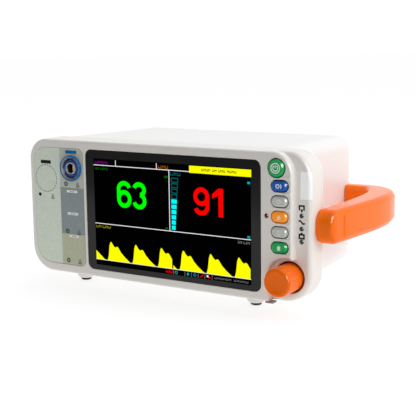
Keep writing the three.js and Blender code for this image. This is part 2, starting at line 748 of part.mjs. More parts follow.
/** Silicone mat behind the keys, with a hole for each stem. */
function keyMat() {
  const rect = { left: 88.4, right: 108.9, bottom: -18.2, top: 55.5 };
  const mat = roundedPlate(rect, { ...evenCorners(2), topRight: 13 }, KEY_MAT_DEPTHS, 4);
  const through = [KEY_MAT_DEPTHS[0] - 1, KEY_MAT_DEPTHS[1] + 1];
  const holes = KEY_PLACES.map(([x, z]) => rodY(x, z, 2.7, through, 12));
  const lampHole = rodY(FAULT_LAMP.x, FAULT_LAMP.z, LAMP_RADIUS + GAP, through, 12);
  return part('key_mat', cut(mat, ...holes, lampHole), { color: 0xd8d8d8, roughness: 0.9, metalness: 0 });
}

/** Circuit board behind the mat. It carries the key switches and the lamps. */
function keyBoard() {
  const rect = { left: 86.4, right: 119.2, bottom: -18, top: 55 };
  const board = roundedPlate(rect, { ...evenCorners(1.5), topRight: 15 }, KEY_BOARD_DEPTHS, 4);
  const switchDepths = [KEY_SWITCH_FRONT, KEY_BOARD_DEPTHS[0] + 0.1];
  const switches = KEY_PLACES.map(([x, z]) => box([x - 3, x + 3], switchDepths, [z - 3, z + 3]));
  return part('key_board', join(board, ...switches), { color: 0x1e6b3c, roughness: 0.6, metalness: 0 });
}

/** An indicator lamp: a short rod with a domed front. */
function lampSolid(front, back) {
  const dome = [
    [0, front],
    [0.8, front + 0.12],
    [1.25, front + 0.45],
    [LAMP_RADIUS, front + 0.9],
    [LAMP_RADIUS, back],
    [0, back],
  ];
  return turnedY(0, 0, dome, 12);
}

/** The red fault lamp beside the keys and the three status lamps on the strip. */
function indicatorLamps() {
  const back = KEY_BOARD_DEPTHS[0] - GAP;
  const red = { color: 0xd8202a, roughness: 0.25, metalness: 0 };
  const darkGreen = { color: 0x10351d, roughness: 0.25, metalness: 0 };
  const fault = part('fault_lamp', lampSolid(-0.4, back), red, [FAULT_LAMP.x, 0, FAULT_LAMP.z]);
  const names = ['display_lamp', 'mains_lamp', 'battery_lamp'];
  const status = STATUS_HEIGHTS.map((z, row) =>
    part(names[row], lampSolid(STRIP_SETBACK - 0.3, back), darkGreen, [STATUS_LAMPS.x, 0, z]),
  );
  return [fault, ...status];
}

/** Translucent window of the alarm lamp, part of the shell's own corner. */
function alarmLamp() {
  const solid = cut(shellOutside().intersect(alarmWindow(-GAP)), shellHollow());
  return part('alarm_lamp', solid, { color: 0xdfe8ee, roughness: 0.3, metalness: 0 });
}

/** Small board with the alarm lamp's diodes. */
function alarmBoard() {
  const board = box([110.5, 120.5], [15, 16.4], [ALARM.bottom + 2, ALARM.top - 2]);
  const diodes = [28, 34.5, 41].map((z) => box([114.5, 118.5], [13.9, 15.1], [z - 1.5, z + 1.5]));
  return part('alarm_board', join(board, ...diodes), { color: 0x1e6b3c, roughness: 0.6, metalness: 0 });
}

// ---------------------------------------------------------------- knob and encoder

const BUSHING_FRONT = 9.2;
const ENCODER_FRONT = 14.2;
const ENCODER_BACK = 22.4;
const PLUNGER_FRONT = 17.8;
const PLUNGER_THICKNESS = 1.4;
const PUSH_TRAVEL = 0.5; // the room behind the plunger is a little deeper than this
const SHAFT_FLAT = 2.2; // distance of the shaft's flat from its axis

/** Encoder body with its threaded bushing, bored for the shaft. */
function encoderBody() {
  const half = 7;
  const body = box([-half, half], [ENCODER_FRONT, ENCODER_BACK], [-half, half]);
  const bushing = rodY(0, 0, BUSHING_RADIUS, [BUSHING_FRONT, ENCODER_FRONT + 0.1], 20);
  const boreEnd = PLUNGER_FRONT + PLUNGER_THICKNESS + PUSH_TRAVEL + 0.1;
  const bore = rodY(0, 0, SHAFT_RADIUS + GAP, [BUSHING_FRONT - 1, boreEnd], 20);
  const look = { color: 0x8c9094, roughness: 0.35, metalness: 1 };
  return part('encoder_body', cut(join(body, bushing), bore), look, [KNOB.x, 0, KNOB.z]);
}

/** Push contact at the bottom of the encoder, which the shaft presses. */
function encoderPlunger() {
  const solid = rodY(0, 0, 2.9, [PLUNGER_FRONT, PLUNGER_FRONT + PLUNGER_THICKNESS], 20);
  const look = { color: 0xb08d4a, roughness: 0.3, metalness: 1 };
  return part('encoder_plunger', solid, look, [KNOB.x, 0, KNOB.z]);
}

/** Steel shaft with a flat where the knob grips it. */
function encoderShaft() {
  const shaft = rodY(0, 0, SHAFT_RADIUS, [-6.7, PLUNGER_FRONT - GAP], 20);
  const flat = box([-4, 4], [-8, 2], [SHAFT_FLAT, 4]);
  const look = { color: 0xb4b8bc, roughness: 0.3, metalness: 1 };
  return part('encoder_shaft', cut(shaft, flat), look, [KNOB.x, 0, KNOB.z]);
}

/** Finely fluted knob, hollow behind so that it clears the bushing. */
function encoderKnob() {
  const { radius, front, back } = KNOB;
  const profile = [
    [0, front - 0.6],
    [5, front - 0.45],
    [8.6, front - 0.1],
    [10.1, front + 0.35],
    [radius - 0.45, front + 1.3],
    [radius - 0.1, front + 2.6],
    [radius - 0.1, back],
    [9.4, back],
    [9.4, 1.5],
    [5.2, 1.5],
    [5.2, 0.5],
    [0, 0.5],
  ];
  const flutes = 20;
  const turned = turnedY(0, 0, profile, flutes);
  const grooves = Array.from({ length: flutes }, (_, i) => {
    const angle = (2 * Math.PI * i) / flutes;
    const reach = radius + 0.25;
    return rodY(reach * Math.cos(angle), reach * Math.sin(angle), 0.9, [front + 2.6, back - 1.5], 4);
  });
  const bore = cut(
    rodY(0, 0, SHAFT_RADIUS + 0.25, [-7, 1], 20),
    box([-4, 4], [-8, 2], [SHAFT_FLAT + 0.25, 4]),
  );
  const look = { color: 0xf06a1e, roughness: 0.4, metalness: 0 };
  return part('encoder_knob', cut(turned, bore, ...grooves), look, [KNOB.x, 0, KNOB.z]);
}

// ---------------------------------------------------------------- handle

const HANDLE_CORNER = 4.5;
const HANDLE_SCREWS = { front: { y: 18.2 }, back: { y: 150.5 } };
const HANDLE_SCREW_Z = 2;
const LEG_FRONT = SHELL_DEPTH + GAP + FLANGE_DEPTH + GAP;

/** Clearance hole for a handle screw through the wall beside the handle. */
function handleScrewHole({ y }) {
  return rodX(y, HANDLE_SCREW_Z, 1.9, [78, SHELL.right + 2], 12);
}

/** The bar's centre line in plan, with its width: from the front end round to the rear leg. */
const HANDLE_STATIONS = [
  { x: 131, y: 23.4, width: 17.4 },
  { x: 132, y: 42, width: 19.4 },
  { x: 133.2, y: 72, width: 21 },
  { x: 132.9, y: 98, width: 23.2 },
  { x: 130.8, y: 118, width: 23.8 },
  { x: 124.5, y: 138, width: 23 },
  { x: 110.5, y: 150, width: 17.2 },
  { x: 85, y: 151.4, width: 15.6 },
];

/** One section of the bar, across the direction that it runs in. */
function handleRing(centre, direction, halfWidth, bottom, top, corner) {
  const across = new THREE.Vector3(direction.y, -direction.x, 0);
  const rect = { left: -halfWidth, right: halfWidth, bottom, top };
  return roundedOutline(rect, evenCorners(corner), 4).map((point) =>
    new THREE.Vector3(centre.x, centre.y, 0).addScaledVector(across, point.x).setZ(point.y),
  );
}

/** Sections from the domed front end along the bar to the rear leg. */
function handleRings() {
  const line = new THREE.CatmullRomCurve3(
    HANDLE_STATIONS.map(({ x, y }) => new THREE.Vector3(x, y, 0)),
    false,
    'centripetal',
  );
  const widths = new THREE.SplineCurve(HANDLE_STATIONS.map(({ width }, i) => new THREE.Vector2(i, width)));
  const first = HANDLE_STATIONS[0];
  const backwards = new THREE.Vector3(0, 1, 0);
  const rings = [];
  const dome = { depth: 9, height: 11, width: 4.2 }; // how much the end's sections shrink in each way
  for (const degrees of [8, 30, 52, 72]) {
    const angle = THREE.MathUtils.degToRad(degrees);
    const lost = 1 - Math.sin(angle);
    const slimmer = (dome.width * lost) / 2;
    const centre = new THREE.Vector3(first.x - slimmer, first.y - dome.depth * Math.cos(angle), 0);
    const bottom = HANDLE_BOTTOM + dome.height * lost;
    const top = HANDLE_TOP - dome.height * lost;
    const corner = Math.min(HANDLE_CORNER, (top - bottom) / 2 - 0.2);
    const halfWidth = first.width / 2 - slimmer;
    rings.push(handleRing(centre, backwards, halfWidth, bottom, top, corner));
  }
  const steps = 16;
  for (let step = 0; step <= steps; step += 1) {
    const share = step / steps;
    const centre = line.getPointAt(share);
    const halfWidth = widths.getPoint(line.getUtoTmapping(share)).y / 2;
    const along = line.getTangentAt(share);
    rings.push(handleRing(centre, along, halfWidth, HANDLE_BOTTOM, HANDLE_TOP, HANDLE_CORNER));
  }
  return rings;
}

/** Carrying handle: the bar, its rear leg and a short front leg behind the front shell. */
function carryingHandle() {
  const legRect = { left: 90, right: 130, bottom: HANDLE_BOTTOM + 2, top: HANDLE_TOP - 2 };
  const frontLeg = roundedPlate(legRect, evenCorners(4), [LEG_FRONT, LEG_FRONT + 9], 3);
  const housing = rearBlock(SHELL_DEPTH, REAR_DEPTH + 1, -GAP, 0.5);
  const shell = box([80, SHELL.right + GAP], [0, LEG_FRONT], [-60, 60]);
  const bore = (y) => rodX(y, HANDLE_SCREW_Z, 1.9, [78, 133], 12);
  const solid = cut(
    join(loft(handleRings()), frontLeg),
    housing,
    shell,
    bore(HANDLE_SCREWS.front.y),
    bore(HANDLE_SCREWS.back.y),
  );
  return part('carrying_handle', solid, { color: 0xf57a35, roughness: 0.45, metalness: 0 });
}

/** Screws that hold the handle from inside the shells. */
function handleScrews() {
  const look = { color: 0x9a9ca0, roughness: 0.35, metalness: 1 };
  const screw = (length) => join(rodX(0, 0, 2.8, [-2.4, 0], 12), rodX(0, 0, 1.55, [-0.1, length], 8));
  const frontSeat = SHELL.right - SHELL_WALL - GAP;
  const backSeat = 83.4;
  return [
    part('handle_screw_front', screw(10), look, [frontSeat, HANDLE_SCREWS.front.y, HANDLE_SCREW_Z]),
    part('handle_screw_back', screw(20), look, [backSeat, HANDLE_SCREWS.back.y, HANDLE_SCREW_Z]),
  ];
}

// ---------------------------------------------------------------- underside

/** The hollow in a foot cup that holds its rubber pad. */
function footHollow(x, y) {
  return rodZ(x, y, FOOT_PAD.radius + GAP, [FLOOR - 1, FLOOR + FOOT_PAD.height + GAP], 20);
}

/** A tapered cup under the shell, which holds a rubber pad. */
function footCup(x, y) {
  const bottom = SHELL.bottom - FOOT_CUP.height;
  const profile = [
    [0, bottom],
    [FOOT_CUP.bottom - 0.5, bottom],
    [FOOT_CUP.bottom, bottom + 0.4],
    [FOOT_CUP.middle, bottom + 3],
    [FOOT_CUP.top, SHELL.bottom + 1.6],
    [0, SHELL.bottom + 1.6],
  ];
  return turnedZ(x, y, profile);
}

/** Rubber pad at the bottom of a foot cup. */
function foot(name, x, y) {
  const { radius, height } = FOOT_PAD;
  const profile = [
    [0, FLOOR],
    [radius - 1, FLOOR],
    [radius - 0.2, FLOOR + 0.8],
    [radius, FLOOR + 2],
    [radius, FLOOR + height],
    [0, FLOOR + height],
  ];
  return part(name, turnedZ(0, 0, profile), { color: 0x2b2b2c, roughness: 0.9, metalness: 0 }, [x, y, 0]);
}

/** Four feet, two under the front shell and two under the back of the housing. */
function feet() {
  return [
    foot('foot_front_left', FRONT_FEET.left, FRONT_FEET.y),
    foot('foot_front_right', FRONT_FEET.right, FRONT_FEET.y),
    foot('foot_back_left', BACK_FEET.left, BACK_FEET.y),
    foot('foot_back_right', BACK_FEET.right, BACK_FEET.y),
  ];
}

/** Small dark pad under the front edge, beside the knob. */
function frontBumper() {
  const thickness = 1.3;
  const solid = box([87.2, 93.8], [2.6, 9], [SHELL.bottom - GAP - thickness, SHELL.bottom - GAP]);
  return part('front_bumper', solid, { color: 0x4c4c4c, roughness: 0.9, metalness: 0 });
}

const UNDERSIDE = REAR_FRONT.bottom; // level of the hatch and the mounting plate

/** Cover of the battery compartment, held by two screws. */
function batteryCover() {
  const [x0, x1] = BATTERY_HATCH.x;
  const [y0, y1] = BATTERY_HATCH.y;
  const cover = box([x0 + GAP, x1 - GAP], [y0 + GAP, y1 - GAP], [UNDERSIDE + 0.6, UNDERSIDE + 2.8]);
  const screwHoles = BATTERY_SCREWS.map(([x, y]) => rodZ(x, y, 1.8, [UNDERSIDE, UNDERSIDE + 4], 8));
  const sinks = BATTERY_SCREWS.map(([x, y]) => rodZ(x, y, 3.4, [UNDERSIDE, UNDERSIDE + 1.6], 12));
  const solid = cut(cover, ...screwHoles, ...sinks);
  return part('battery_cover', solid, { color: 0xe2dfdb, roughness: 0.55, metalness: 0 });
}

const BATTERY_SCREWS = [
  [38, 50.5],
  [38, 117.5],
];

/** The battery cover's screws. */
function batteryScrews() {
  const look = { color: 0x9a9ca0, roughness: 0.35, metalness: 1 };
  return BATTERY_SCREWS.map(([x, y], i) => {
    const head = rodZ(0, 0, 3, [0.1, 1.3], 12);
    const shank = rodZ(0, 0, 1.4, [1.2, 5.2], 8);
    return part(`battery_screw_${i + 1}`, join(head, shank), look, [x, y, UNDERSIDE]);
  });
}

/** Aluminium plate under the case with four tapped holes, for a stand or a rail clamp. */
function mountPlate() {
  const [x0, x1] = MOUNT_PLATE.x;
  const [y0, y1] = MOUNT_PLATE.y;
  const plate = box([x0 + GAP, x1 - GAP], [y0 + GAP, y1 - GAP], [UNDERSIDE + 0.4, UNDERSIDE + 4.4]);
  const spacing = 40;
  const holes = [-1, 1].flatMap((i) =>
    [-1, 1].map((j) =>
      rodZ((x0 + x1 + i * spacing) / 2, (y0 + y1 + j * spacing) / 2, 2, [UNDERSIDE, UNDERSIDE + 6], 12),
    ),
  );
  return part('mount_plate', cut(plate, ...holes), { color: 0xb9bcbf, roughness: 0.45, metalness: 1 });
}

// ---------------------------------------------------------------- electronics

/** Sheet-metal chassis with four posts that the case screws enter. */
function chassis() {
  const plate = box([-122, 88], [CHASSIS_FRONT, CHASSIS_FRONT + 1.5], [-46, 50]);
  const through = [CHASSIS_FRONT - 1, CHASSIS_FRONT + 3];
  const windows = [-70, 0, 60].map((x) => box([x - 14, x + 14], through, [-25, 25]));
  const postEnd = REAR_DEPTH - CASE_WELL_DEPTH - 3 - GAP; // the posts stop short of the housing's wells
  const posts = CASE_SCREWS.map(([x, z]) => rodY(x, z, 4.4, [CHASSIS_FRONT + 1, postEnd], 14));
  const bores = CASE_SCREWS.map(([x, z]) => rodY(x, z, 2.2, [postEnd - 22, postEnd + 1], 12));
  const solid = cut(join(plate, ...posts), ...windows, ...bores);
  return part('chassis', solid, { color: 0xaeb2b6, roughness: 0.4, metalness: 1 });
}

/** Main circuit board with its processor and a connector block. */
function mainBoard() {
  const board = box([-78, 74], [17, 18.6], [-46, 46]);
  const processor = box([-14, 14], [18.5, 21.5], [-10, 18]);
  const connector = box([40, 66], [18.5, 24], [-38, -30]);
  const look = { color: 0x1e6b3c, roughness: 0.6, metalness: 0 };
  return part('main_board', join(board, processor, connector), look);
}

/** Oximeter board behind the label panel. */
function spo2Board() {
  const board = box([-138, -90], [15, 16.6], [-34, 44]);
  const shield = box([-134, -112], [16.5, 21], [-28, 4]);
  const notches = CHASSIS_POSTS.map(([x, z]) => rodY(x, z, CHASSIS_POST_RADIUS + 0.5, [10, 20], 12));
  const solid = cut(join(board, shield), ...notches);
  return part('spo2_board', solid, { color: 0x1e6b3c, roughness: 0.6, metalness: 0 });
}

/** Power supply module on its bracket. */
function powerSupply() {
  const can = box([-104, -22], [48, 118], [-44, -8]);
  const foil = box([-100, -26], [54, 112], [-8.1, -5]);
  return part('power_supply', join(can, foil), { color: 0x9fa3a6, roughness: 0.5, metalness: 1 });
}

/** Rechargeable battery pack above its hatch. */
function batteryPack() {
  const rect = { left: 6, right: 60, bottom: -51.1, top: -25 };
  const solid = roundedPlate(rect, evenCorners(3), [50, 118], 2);
  return part('battery_pack', solid, { color: 0x2f4f7f, roughness: 0.5, metalness: 0 });
}

/** Loudspeaker behind the left wall. */
function speaker() {
  const frame = rodX(SPEAKER.y, SPEAKER.z, SPEAKER.radius, [SPEAKER.x - 2, SPEAKER.x + 3], 24);
  const magnet = rodX(SPEAKER.y, SPEAKER.z, 9, [SPEAKER.x + 2.9, SPEAKER.x + 11], 16);
  return part('speaker', join(frame, magnet), { color: 0x2c2c2e, roughness: 0.6, metalness: 0 });
}

// ---------------------------------------------------------------- terminals

const PLATE_BACK = REAR_DEPTH - BAY_DEPTH;
const INLET = { x: -86, z: -29, width: 32, height: 25 };
const FUSE = { x: -58, z: -29, width: 14, height: 22 };
const GROUND_POST = { x: -40, z: -29 };
// How far behind the back plane each socket's body and mouth reach
const INLET_BODY = [REAR_DEPTH - 27, REAR_DEPTH - 2.5];
const INLET_MOUTH_FLOOR = REAR_DEPTH - 19;
const PORT_BODY = [REAR_DEPTH - 23, REAR_DEPTH - 4];
const PORT_MOUTH_FLOOR = REAR_DEPTH - 17;
const PORTS = {
  network_port: { x: -18, z: -29, width: 16, height: 14, mouth: [11.7, 8.2] },
  nurse_call_port: { x: 2, z: -29, width: 13, height: 12, mouth: [9, 6.6] },
};

/** A rectangle of a given size about a point. */
function rectAbout({ x, z, width, height }, margin = 0) {
  return {
    left: x - width / 2 - margin,
    right: x + width / 2 + margin,
    bottom: z - height / 2 - margin,
    top: z + height / 2 + margin,
  };
}

/** Plate at the bottom of the bay, cut out for the sockets. */
function terminalPlate() {
  const through = [PLATE_BACK - 5, PLATE_BACK + 2];
  const plate = roundedPlate(inset(TERMINAL_BAY, GAP), evenCorners(2.2), [PLATE_BACK - 2, PLATE_BACK], 3);
  const openings = [INLET, FUSE, ...Object.values(PORTS)].map((socket) =>
    roundedPlate(rectAbout(socket, GAP), evenCorners(0.6), through, 1),
  );
  const postHole = rodY(GROUND_POST.x, GROUND_POST.z, 3.3, through, 16);
  const solid = cut(plate, ...openings, postHole);
  return part('terminal_plate', solid, { color: 0xc9cacb, roughness: 0.5, metalness: 0 });
}

/** Mains inlet with three blades set back in its mouth. */
function mainsInlet() {
  const body = roundedPlate(rectAbout(INLET), evenCorners(1.5), INLET_BODY, 2);
  const mouthRect = rectAbout({ ...INLET, width: 24.5, height: 17.5 });
  const mouth = roundedPlate(mouthRect, evenCorners(3), [INLET_MOUTH_FLOOR, REAR_DEPTH], 2);
  const bladeDepths = [INLET_MOUTH_FLOOR - 1, PLATE_BACK];
  const blades = [
    [-7, -2],
    [7, -2],
    [0, 3],
  ].map(([x, z]) => {
    const [bladeX, bladeZ] = [INLET.x + x, INLET.z + z];
    return box([bladeX - 1, bladeX + 1], bladeDepths, [bladeZ - 2, bladeZ + 2]);
  });
  const look = { color: 0x1a1b1c, roughness: 0.5, metalness: 0 };
  return part('mains_inlet', join(cut(body, mouth), ...blades), look);
}

/** Fuse drawer with a finger slot across its front. */
function fuseDrawer() {
  const body = roundedPlate(rectAbout(FUSE), evenCorners(1), [REAR_DEPTH - 25, REAR_DEPTH - 4.5], 2);
  const slot = box([FUSE.x - 5, FUSE.x + 5], [REAR_DEPTH - 6.5, REAR_DEPTH], [FUSE.z - 1.2, FUSE.z + 1.2]);
  return part('fuse_drawer', cut(body, slot), { color: 0x1a1b1c, roughness: 0.5, metalness: 0 });
}

/** Equipotential ground post. */
function groundPost() {
  const profile = [
    [0, REAR_DEPTH - 1.6],
    [2.2, REAR_DEPTH - 1.6],
    [3, REAR_DEPTH - 2.4],
    [3, PLATE_BACK + 2.4],
    [5.4, PLATE_BACK + 2.4],
    [5.4, PLATE_BACK + GAP],
    [3, PLATE_BACK + GAP],
    [3, REAR_DEPTH - 19],
    [0, REAR_DEPTH - 19],
  ];
  const solid = turnedY(0, 0, profile, 18);
  const look = { color: 0xc9a14a, roughness: 0.3, metalness: 1 };
  return part('ground_post', solid, look, [GROUND_POST.x, 0, GROUND_POST.z]);
}

/** The network and nurse-call ports: blocks with a rectangular mouth. */
function dataPorts() {
  return Object.entries(PORTS).map(([name, port]) => {
    const [width, height] = port.mouth;
    const body = roundedPlate(rectAbout(port), evenCorners(0.6), PORT_BODY, 1);
    const mouth = box(
      [port.x - width / 2, port.x + width / 2],
      [PORT_MOUTH_FLOOR, REAR_DEPTH],
      [port.z - height / 2, port.z + height / 2],
    );
    return part(name, cut(body, mouth), { color: 0xa7abae, roughness: 0.4, metalness: 0.6 });
  });
}

// ---------------------------------------------------------------- assembly

const shells = groupOf(frontBezel(), seamGasket(), rearHousing(), ratingPlate(), ...caseScrews());
const screen = groupOf(screenGlass(), screenMask(), lcdPanel(), lcdBracket());
const sensorSide = groupOf(sensorOverlay(), spo2Collar(), spo2Socket(), spo2Contacts(), spo2Board());
const keypad = groupOf(powerKey(), ...ovalKeys(), keyMat(), keyBoard());
const lamps = groupOf(...indicatorLamps(), alarmLamp(), alarmBoard());
const rotary = groupOf(encoderBody(), encoderPlunger(), encoderShaft(), encoderKnob());
const handle = groupOf(carryingHandle(), ...handleScrews());
const electronics = groupOf(chassis(), mainBoard(), powerSupply(), batteryPack(), speaker());
const terminals = groupOf(terminalPlate(), mainsInlet(), fuseDrawer(), groundPost(), ...dataPorts());
const underside = groupOf(...feet(), frontBumper(), batteryCover(), ...batteryScrews(), mountPlate());

const monitor = groupOf(
  shells,
  screen,
  sensorSide,
  keypad,
  lamps,
  rotary,
  handle,
  electronics,
  terminals,
  underside,
);
monitor.position.set(...STAND);

const standing = groupOf(monitor);

export default standing;
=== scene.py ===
"""Looks of the bedside patient monitor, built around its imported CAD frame.

Shapes are drawn in the display frame, in millimetres: X to the reader's right, Y from the front face
towards the back, Z up, zero at the centre of the display on the front face. finished() moves each
piece into the row frame, in metres.
"""
import math

import bpy
import bmesh
from mathutils import Matrix, Vector


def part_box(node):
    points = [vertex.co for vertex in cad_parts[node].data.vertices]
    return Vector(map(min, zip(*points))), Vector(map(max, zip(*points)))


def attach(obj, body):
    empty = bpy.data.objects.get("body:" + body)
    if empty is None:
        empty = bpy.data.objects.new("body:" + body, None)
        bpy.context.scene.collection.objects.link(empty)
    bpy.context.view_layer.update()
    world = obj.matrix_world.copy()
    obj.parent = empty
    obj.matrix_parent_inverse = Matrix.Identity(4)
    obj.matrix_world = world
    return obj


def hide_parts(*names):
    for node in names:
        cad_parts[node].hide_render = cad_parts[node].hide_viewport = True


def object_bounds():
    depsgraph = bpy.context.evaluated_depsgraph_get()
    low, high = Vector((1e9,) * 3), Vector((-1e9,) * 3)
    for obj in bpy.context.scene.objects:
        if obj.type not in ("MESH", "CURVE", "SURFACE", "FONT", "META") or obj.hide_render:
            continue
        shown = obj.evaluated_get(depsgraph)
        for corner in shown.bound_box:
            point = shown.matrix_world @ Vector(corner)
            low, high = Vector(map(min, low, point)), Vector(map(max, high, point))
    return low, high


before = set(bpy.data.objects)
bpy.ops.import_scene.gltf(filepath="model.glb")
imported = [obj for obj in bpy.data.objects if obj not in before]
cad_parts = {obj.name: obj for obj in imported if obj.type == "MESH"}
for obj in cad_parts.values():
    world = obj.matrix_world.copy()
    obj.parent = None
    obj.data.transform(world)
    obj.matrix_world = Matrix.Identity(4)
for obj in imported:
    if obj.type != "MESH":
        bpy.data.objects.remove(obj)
CAD_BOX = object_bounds()

MM = 0.001
FACE_FRONT = 0.1  # the window and the label stand this far behind the front face
PRINT_THICKNESS = 0.015

# ---- driving dimensions, as in the CAD

SHELL = {"left": -148.1, "right": 124.0, "bottom": -56.9, "top": 59.7}
SHELL_CORNERS = (20, 18, 22, 23)  # top right, top left, bottom left, bottom right
SHELL_DEPTH = 24.6
SHELL_WALL = 2.6
FRONT_WALL = 3.6
PANEL = {**SHELL, "right": 111.3}
PANEL_CORNERS = (17, 18, 22, 3)
PANEL_EDGE = 2.4
PANEL_RIGHT_WALL = 1.8
STRIP_SETBACK = 7.0
STRIP_EDGE = 3.8
KNOB_CUT_RADIUS = 15.8

REAR_FRONT = {"left": -136.0, "right": 97.0, "bottom": -56.9, "top": 59.4}
REAR_BACK = {"left": -130.5, "right": 87.3, "bottom": -56.0, "top": 57.6}
REAR_CORNERS = (12, 12, 15, 15)
REAR_DEPTH = 159.5
REAR_EDGE = 7.0
REAR_WALL = 2.6
FLANGE_FRONT = 24.9
FLANGE_BACK = 28.9
FLANGE_EDGE = 2.4

WINDOW = {"left": -85.2, "right": 84.5, "bottom": -49.9, "top": 52.5}
WINDOW_CORNER = 5.5
WINDOW_SEAT = 2.2
SEAT_GAP = 0.3  # round the window and round the label
DISPLAY = {"left": -76.2, "right": 76.2, "bottom": -45.72, "top": 45.72}
LABEL = {"left": -143.1, "right": -88.4, "bottom": -49.1, "top": 52.5}
LABEL_CORNERS = (5, 13, 17, 5)
LABEL_SEAT = 1.1
DISPLAY_AREA = {"left": -76.4, "right": 76.3, "bottom": -45.6, "top": 45.6}
LABEL_COLUMN_RIGHT = -114.0
LABEL_ZONES = (-22.1, 18.6)  # heights between which the middle zone lies
CONNECTOR = (-101.0, 35.6)
CONNECTOR_HOLE = 10.4

POWER_KEY = (98.1, 47.4)
POWER_RADIUS = 7.0
KEY_X = 100.9
KEY_HEIGHTS = [33.9 - 11.8 * row for row in range(5)]
KEY_SIZE = (14.0, 8.3)
KEY_FRONT = -1.3
KEY_BACK = 5.1
KEY_CLEARANCE = 0.7
KEY_DISH = 0.15
KEY_SIGNS = KEY_FRONT + KEY_DISH - 0.03  # depth of the print in the dish
POWER_RIM, OVAL_RIM = 2.2, 2.3  # width of a key's rim round its dish
KEY_COLOURS = {
    "power_key": "green",
    "settings_key": "blue",
    "upper_grey_key": "grey",
    "alarm_key": "orange",
    "lower_grey_key": "grey",
    "start_key": "green",
}
POCKET = {"x": 105.1, "width": 10.2, "height": 9.8, "corner": 1.2}
POCKET_DEPTH = 0.8
POWER_POCKET = {"left": 98.1, "right": 110.0, "bottom": 40.9, "top": 52.4}
POWER_POCKET_CORNERS = (9.5, 1.2, 1.2, 1.2)
LAMP_RADIUS = 1.65
FAULT_LAMP = (89.7, 10.5)
STATUS_X = 116.0
STATUS_HEIGHTS = [11.4 - 9.95 * row for row in range(3)]
ALARM = {"left": 115.0, "right": 127.0, "bottom": 23.8, "top": 45.2}
ALARM_BACK = 9.9

KNOB = (106.0, -37.2)
KNOB_RADIUS = 11.3
KNOB_FRONT = -14.6
KNOB_BACK = 10.3
KNOB_POCKET_RADIUS = 12.6
KNOB_POCKET_DEPTH = 4.2
KNOB_FLUTES = 36
FLUTE_DEPTH = 0.4
KNOB_RIM = 2.6

HANDLE_BOTTOM = -11.2
HANDLE_TOP = 15.4
HANDLE_CORNER = 4.5
# Centre line of the bar in plan, with its width: from the front end round to the rear leg
HANDLE_STATIONS = [
    (131.0, 23.4, 17.4),
    (132.0, 42.0, 19.4),
    (133.2, 72.0, 21.0),
    (132.9, 98.0, 23.2),
    (130.8, 118.0, 23.8),
    (124.5, 138.0, 23.0),
    (110.5, 150.0, 17.2),
    (85.0, 151.4, 15.6),
]
DOME = {"depth": 9.0, "height": 11.0, "width": 4.2}
GRIP = {"start": 0.42, "end": 5.5, "rise": 0.7, "bevel": 1.1, "margin": 3.4, "corner": 4.5, "round_end": 0.26}

FLOOR = -65.0
FRONT_FEET = {"left": (-101.4, 16.2), "right": (71.4, 16.2)}
BACK_FEET = {"left": (-90.0, 132.0), "right": (60.0, 132.0)}
# (radius, height) pairs: the bowl's heights are from the shell's underside, the other two from the floor
FOOT_CUP = [(0.01, -5.9), (5.9, -5.9), (7.0, -4.4), (7.8, -2.7), (8.35, 1.6), (0.01, 1.6)]
FOOT_HOLLOW = [(0.01, -1), (5.0, -1), (5.0, 4.5), (0.01, 4.5)]
FOOT_PAD = [(0.01, 0), (3.7, 0), (4.5, 0.8), (4.7, 2), (4.7, 4.2), (0.01, 4.2)]

TERMINAL_BAY = {"left": -108.0, "right": 14.0, "bottom": -46.0, "top": -12.0}
BAY_DEPTH = 8.0
BAY_WALL = 2.2
CASE_SCREWS = [(-112, 41), (73, 41), (-112, -2), (73, -2)]
BOSS_RADIUS = 6.4
WELL_RADIUS = 4.3
WELL_DEPTH = 10.0
RATING_PLATE = {"left": 22.0, "right": 78.0, "bottom": -46.0, "top": -14.0}
VENTS = {"x": -18, "z": 31, "width": 3.4, "height": 26, "pitch": 9, "count": 11}
SPEAKER = {"y": 78.0, "z": 12.0, "radius": 19.0, "pitch": 6, "count": 6, "slot": 2.4}
BATTERY_HATCH = ((2, 74), (46, 122))  # along X and along Y
MOUNT_PLATE = ((-95, -35), (52, 112))

# ---- the picture on the display

PICTURE = FACE_FRONT - 0.05  # depth of everything lit
DIGIT = {"width": 14.9, "height": 22.6, "stroke": 3.75}
TOP_LINE, MIDDLE_LINE, BASE_LINE = 40.1, -9.6, -40.8
DIVIDER_X = 0.5
# One pulse of the wave over the base line: a steep rise, a notch and a long fall
PULSE = [
    *[(0, 0.8), (1.0, 4.5), (2.0, 12.5), (2.8, 15.3), (3.6, 16.3), (4.6, 15.4), (6.2, 13.2), (8.0, 11.7)],
    *[(9.0, 12.3), (10.1, 12.6), (11.2, 12.0), (14.0, 8.0), (18.0, 4.3), (23.2, 0.5)],
]
PULSE_STARTS = (-63.9, -37.9, 9.6, 35.6)
CUT_PULSES = (-11.9, 61.6)  # these two are cut off by a gap and by the edge
PULSE_CUT = 14.5
SCREEN_COLOURS = {
    "white": (0.86, 0.85, 0.90),
    "green": (0.0, 1.0, 0.0),
    "red": (1.0, 0.0, 0.0),
    "yellow": (1.0, 1.0, 0.0),
    "cyan": (0.0, 1.0, 1.0),
    "dim_teal": (0.0, 0.13, 0.13),
    "dim_green": (0.0, 0.12, 0.0),
    "magenta": (0.23, 0.0, 0.23),
    "amber": (0.34, 0.09, 0.0),
    "olive": (0.30, 0.26, 0.0),
    "grey": (0.16, 0.16, 0.17),
    "teal": (0.0, 0.42, 0.42),
    "dark": (0.05, 0.05, 0.01),
}
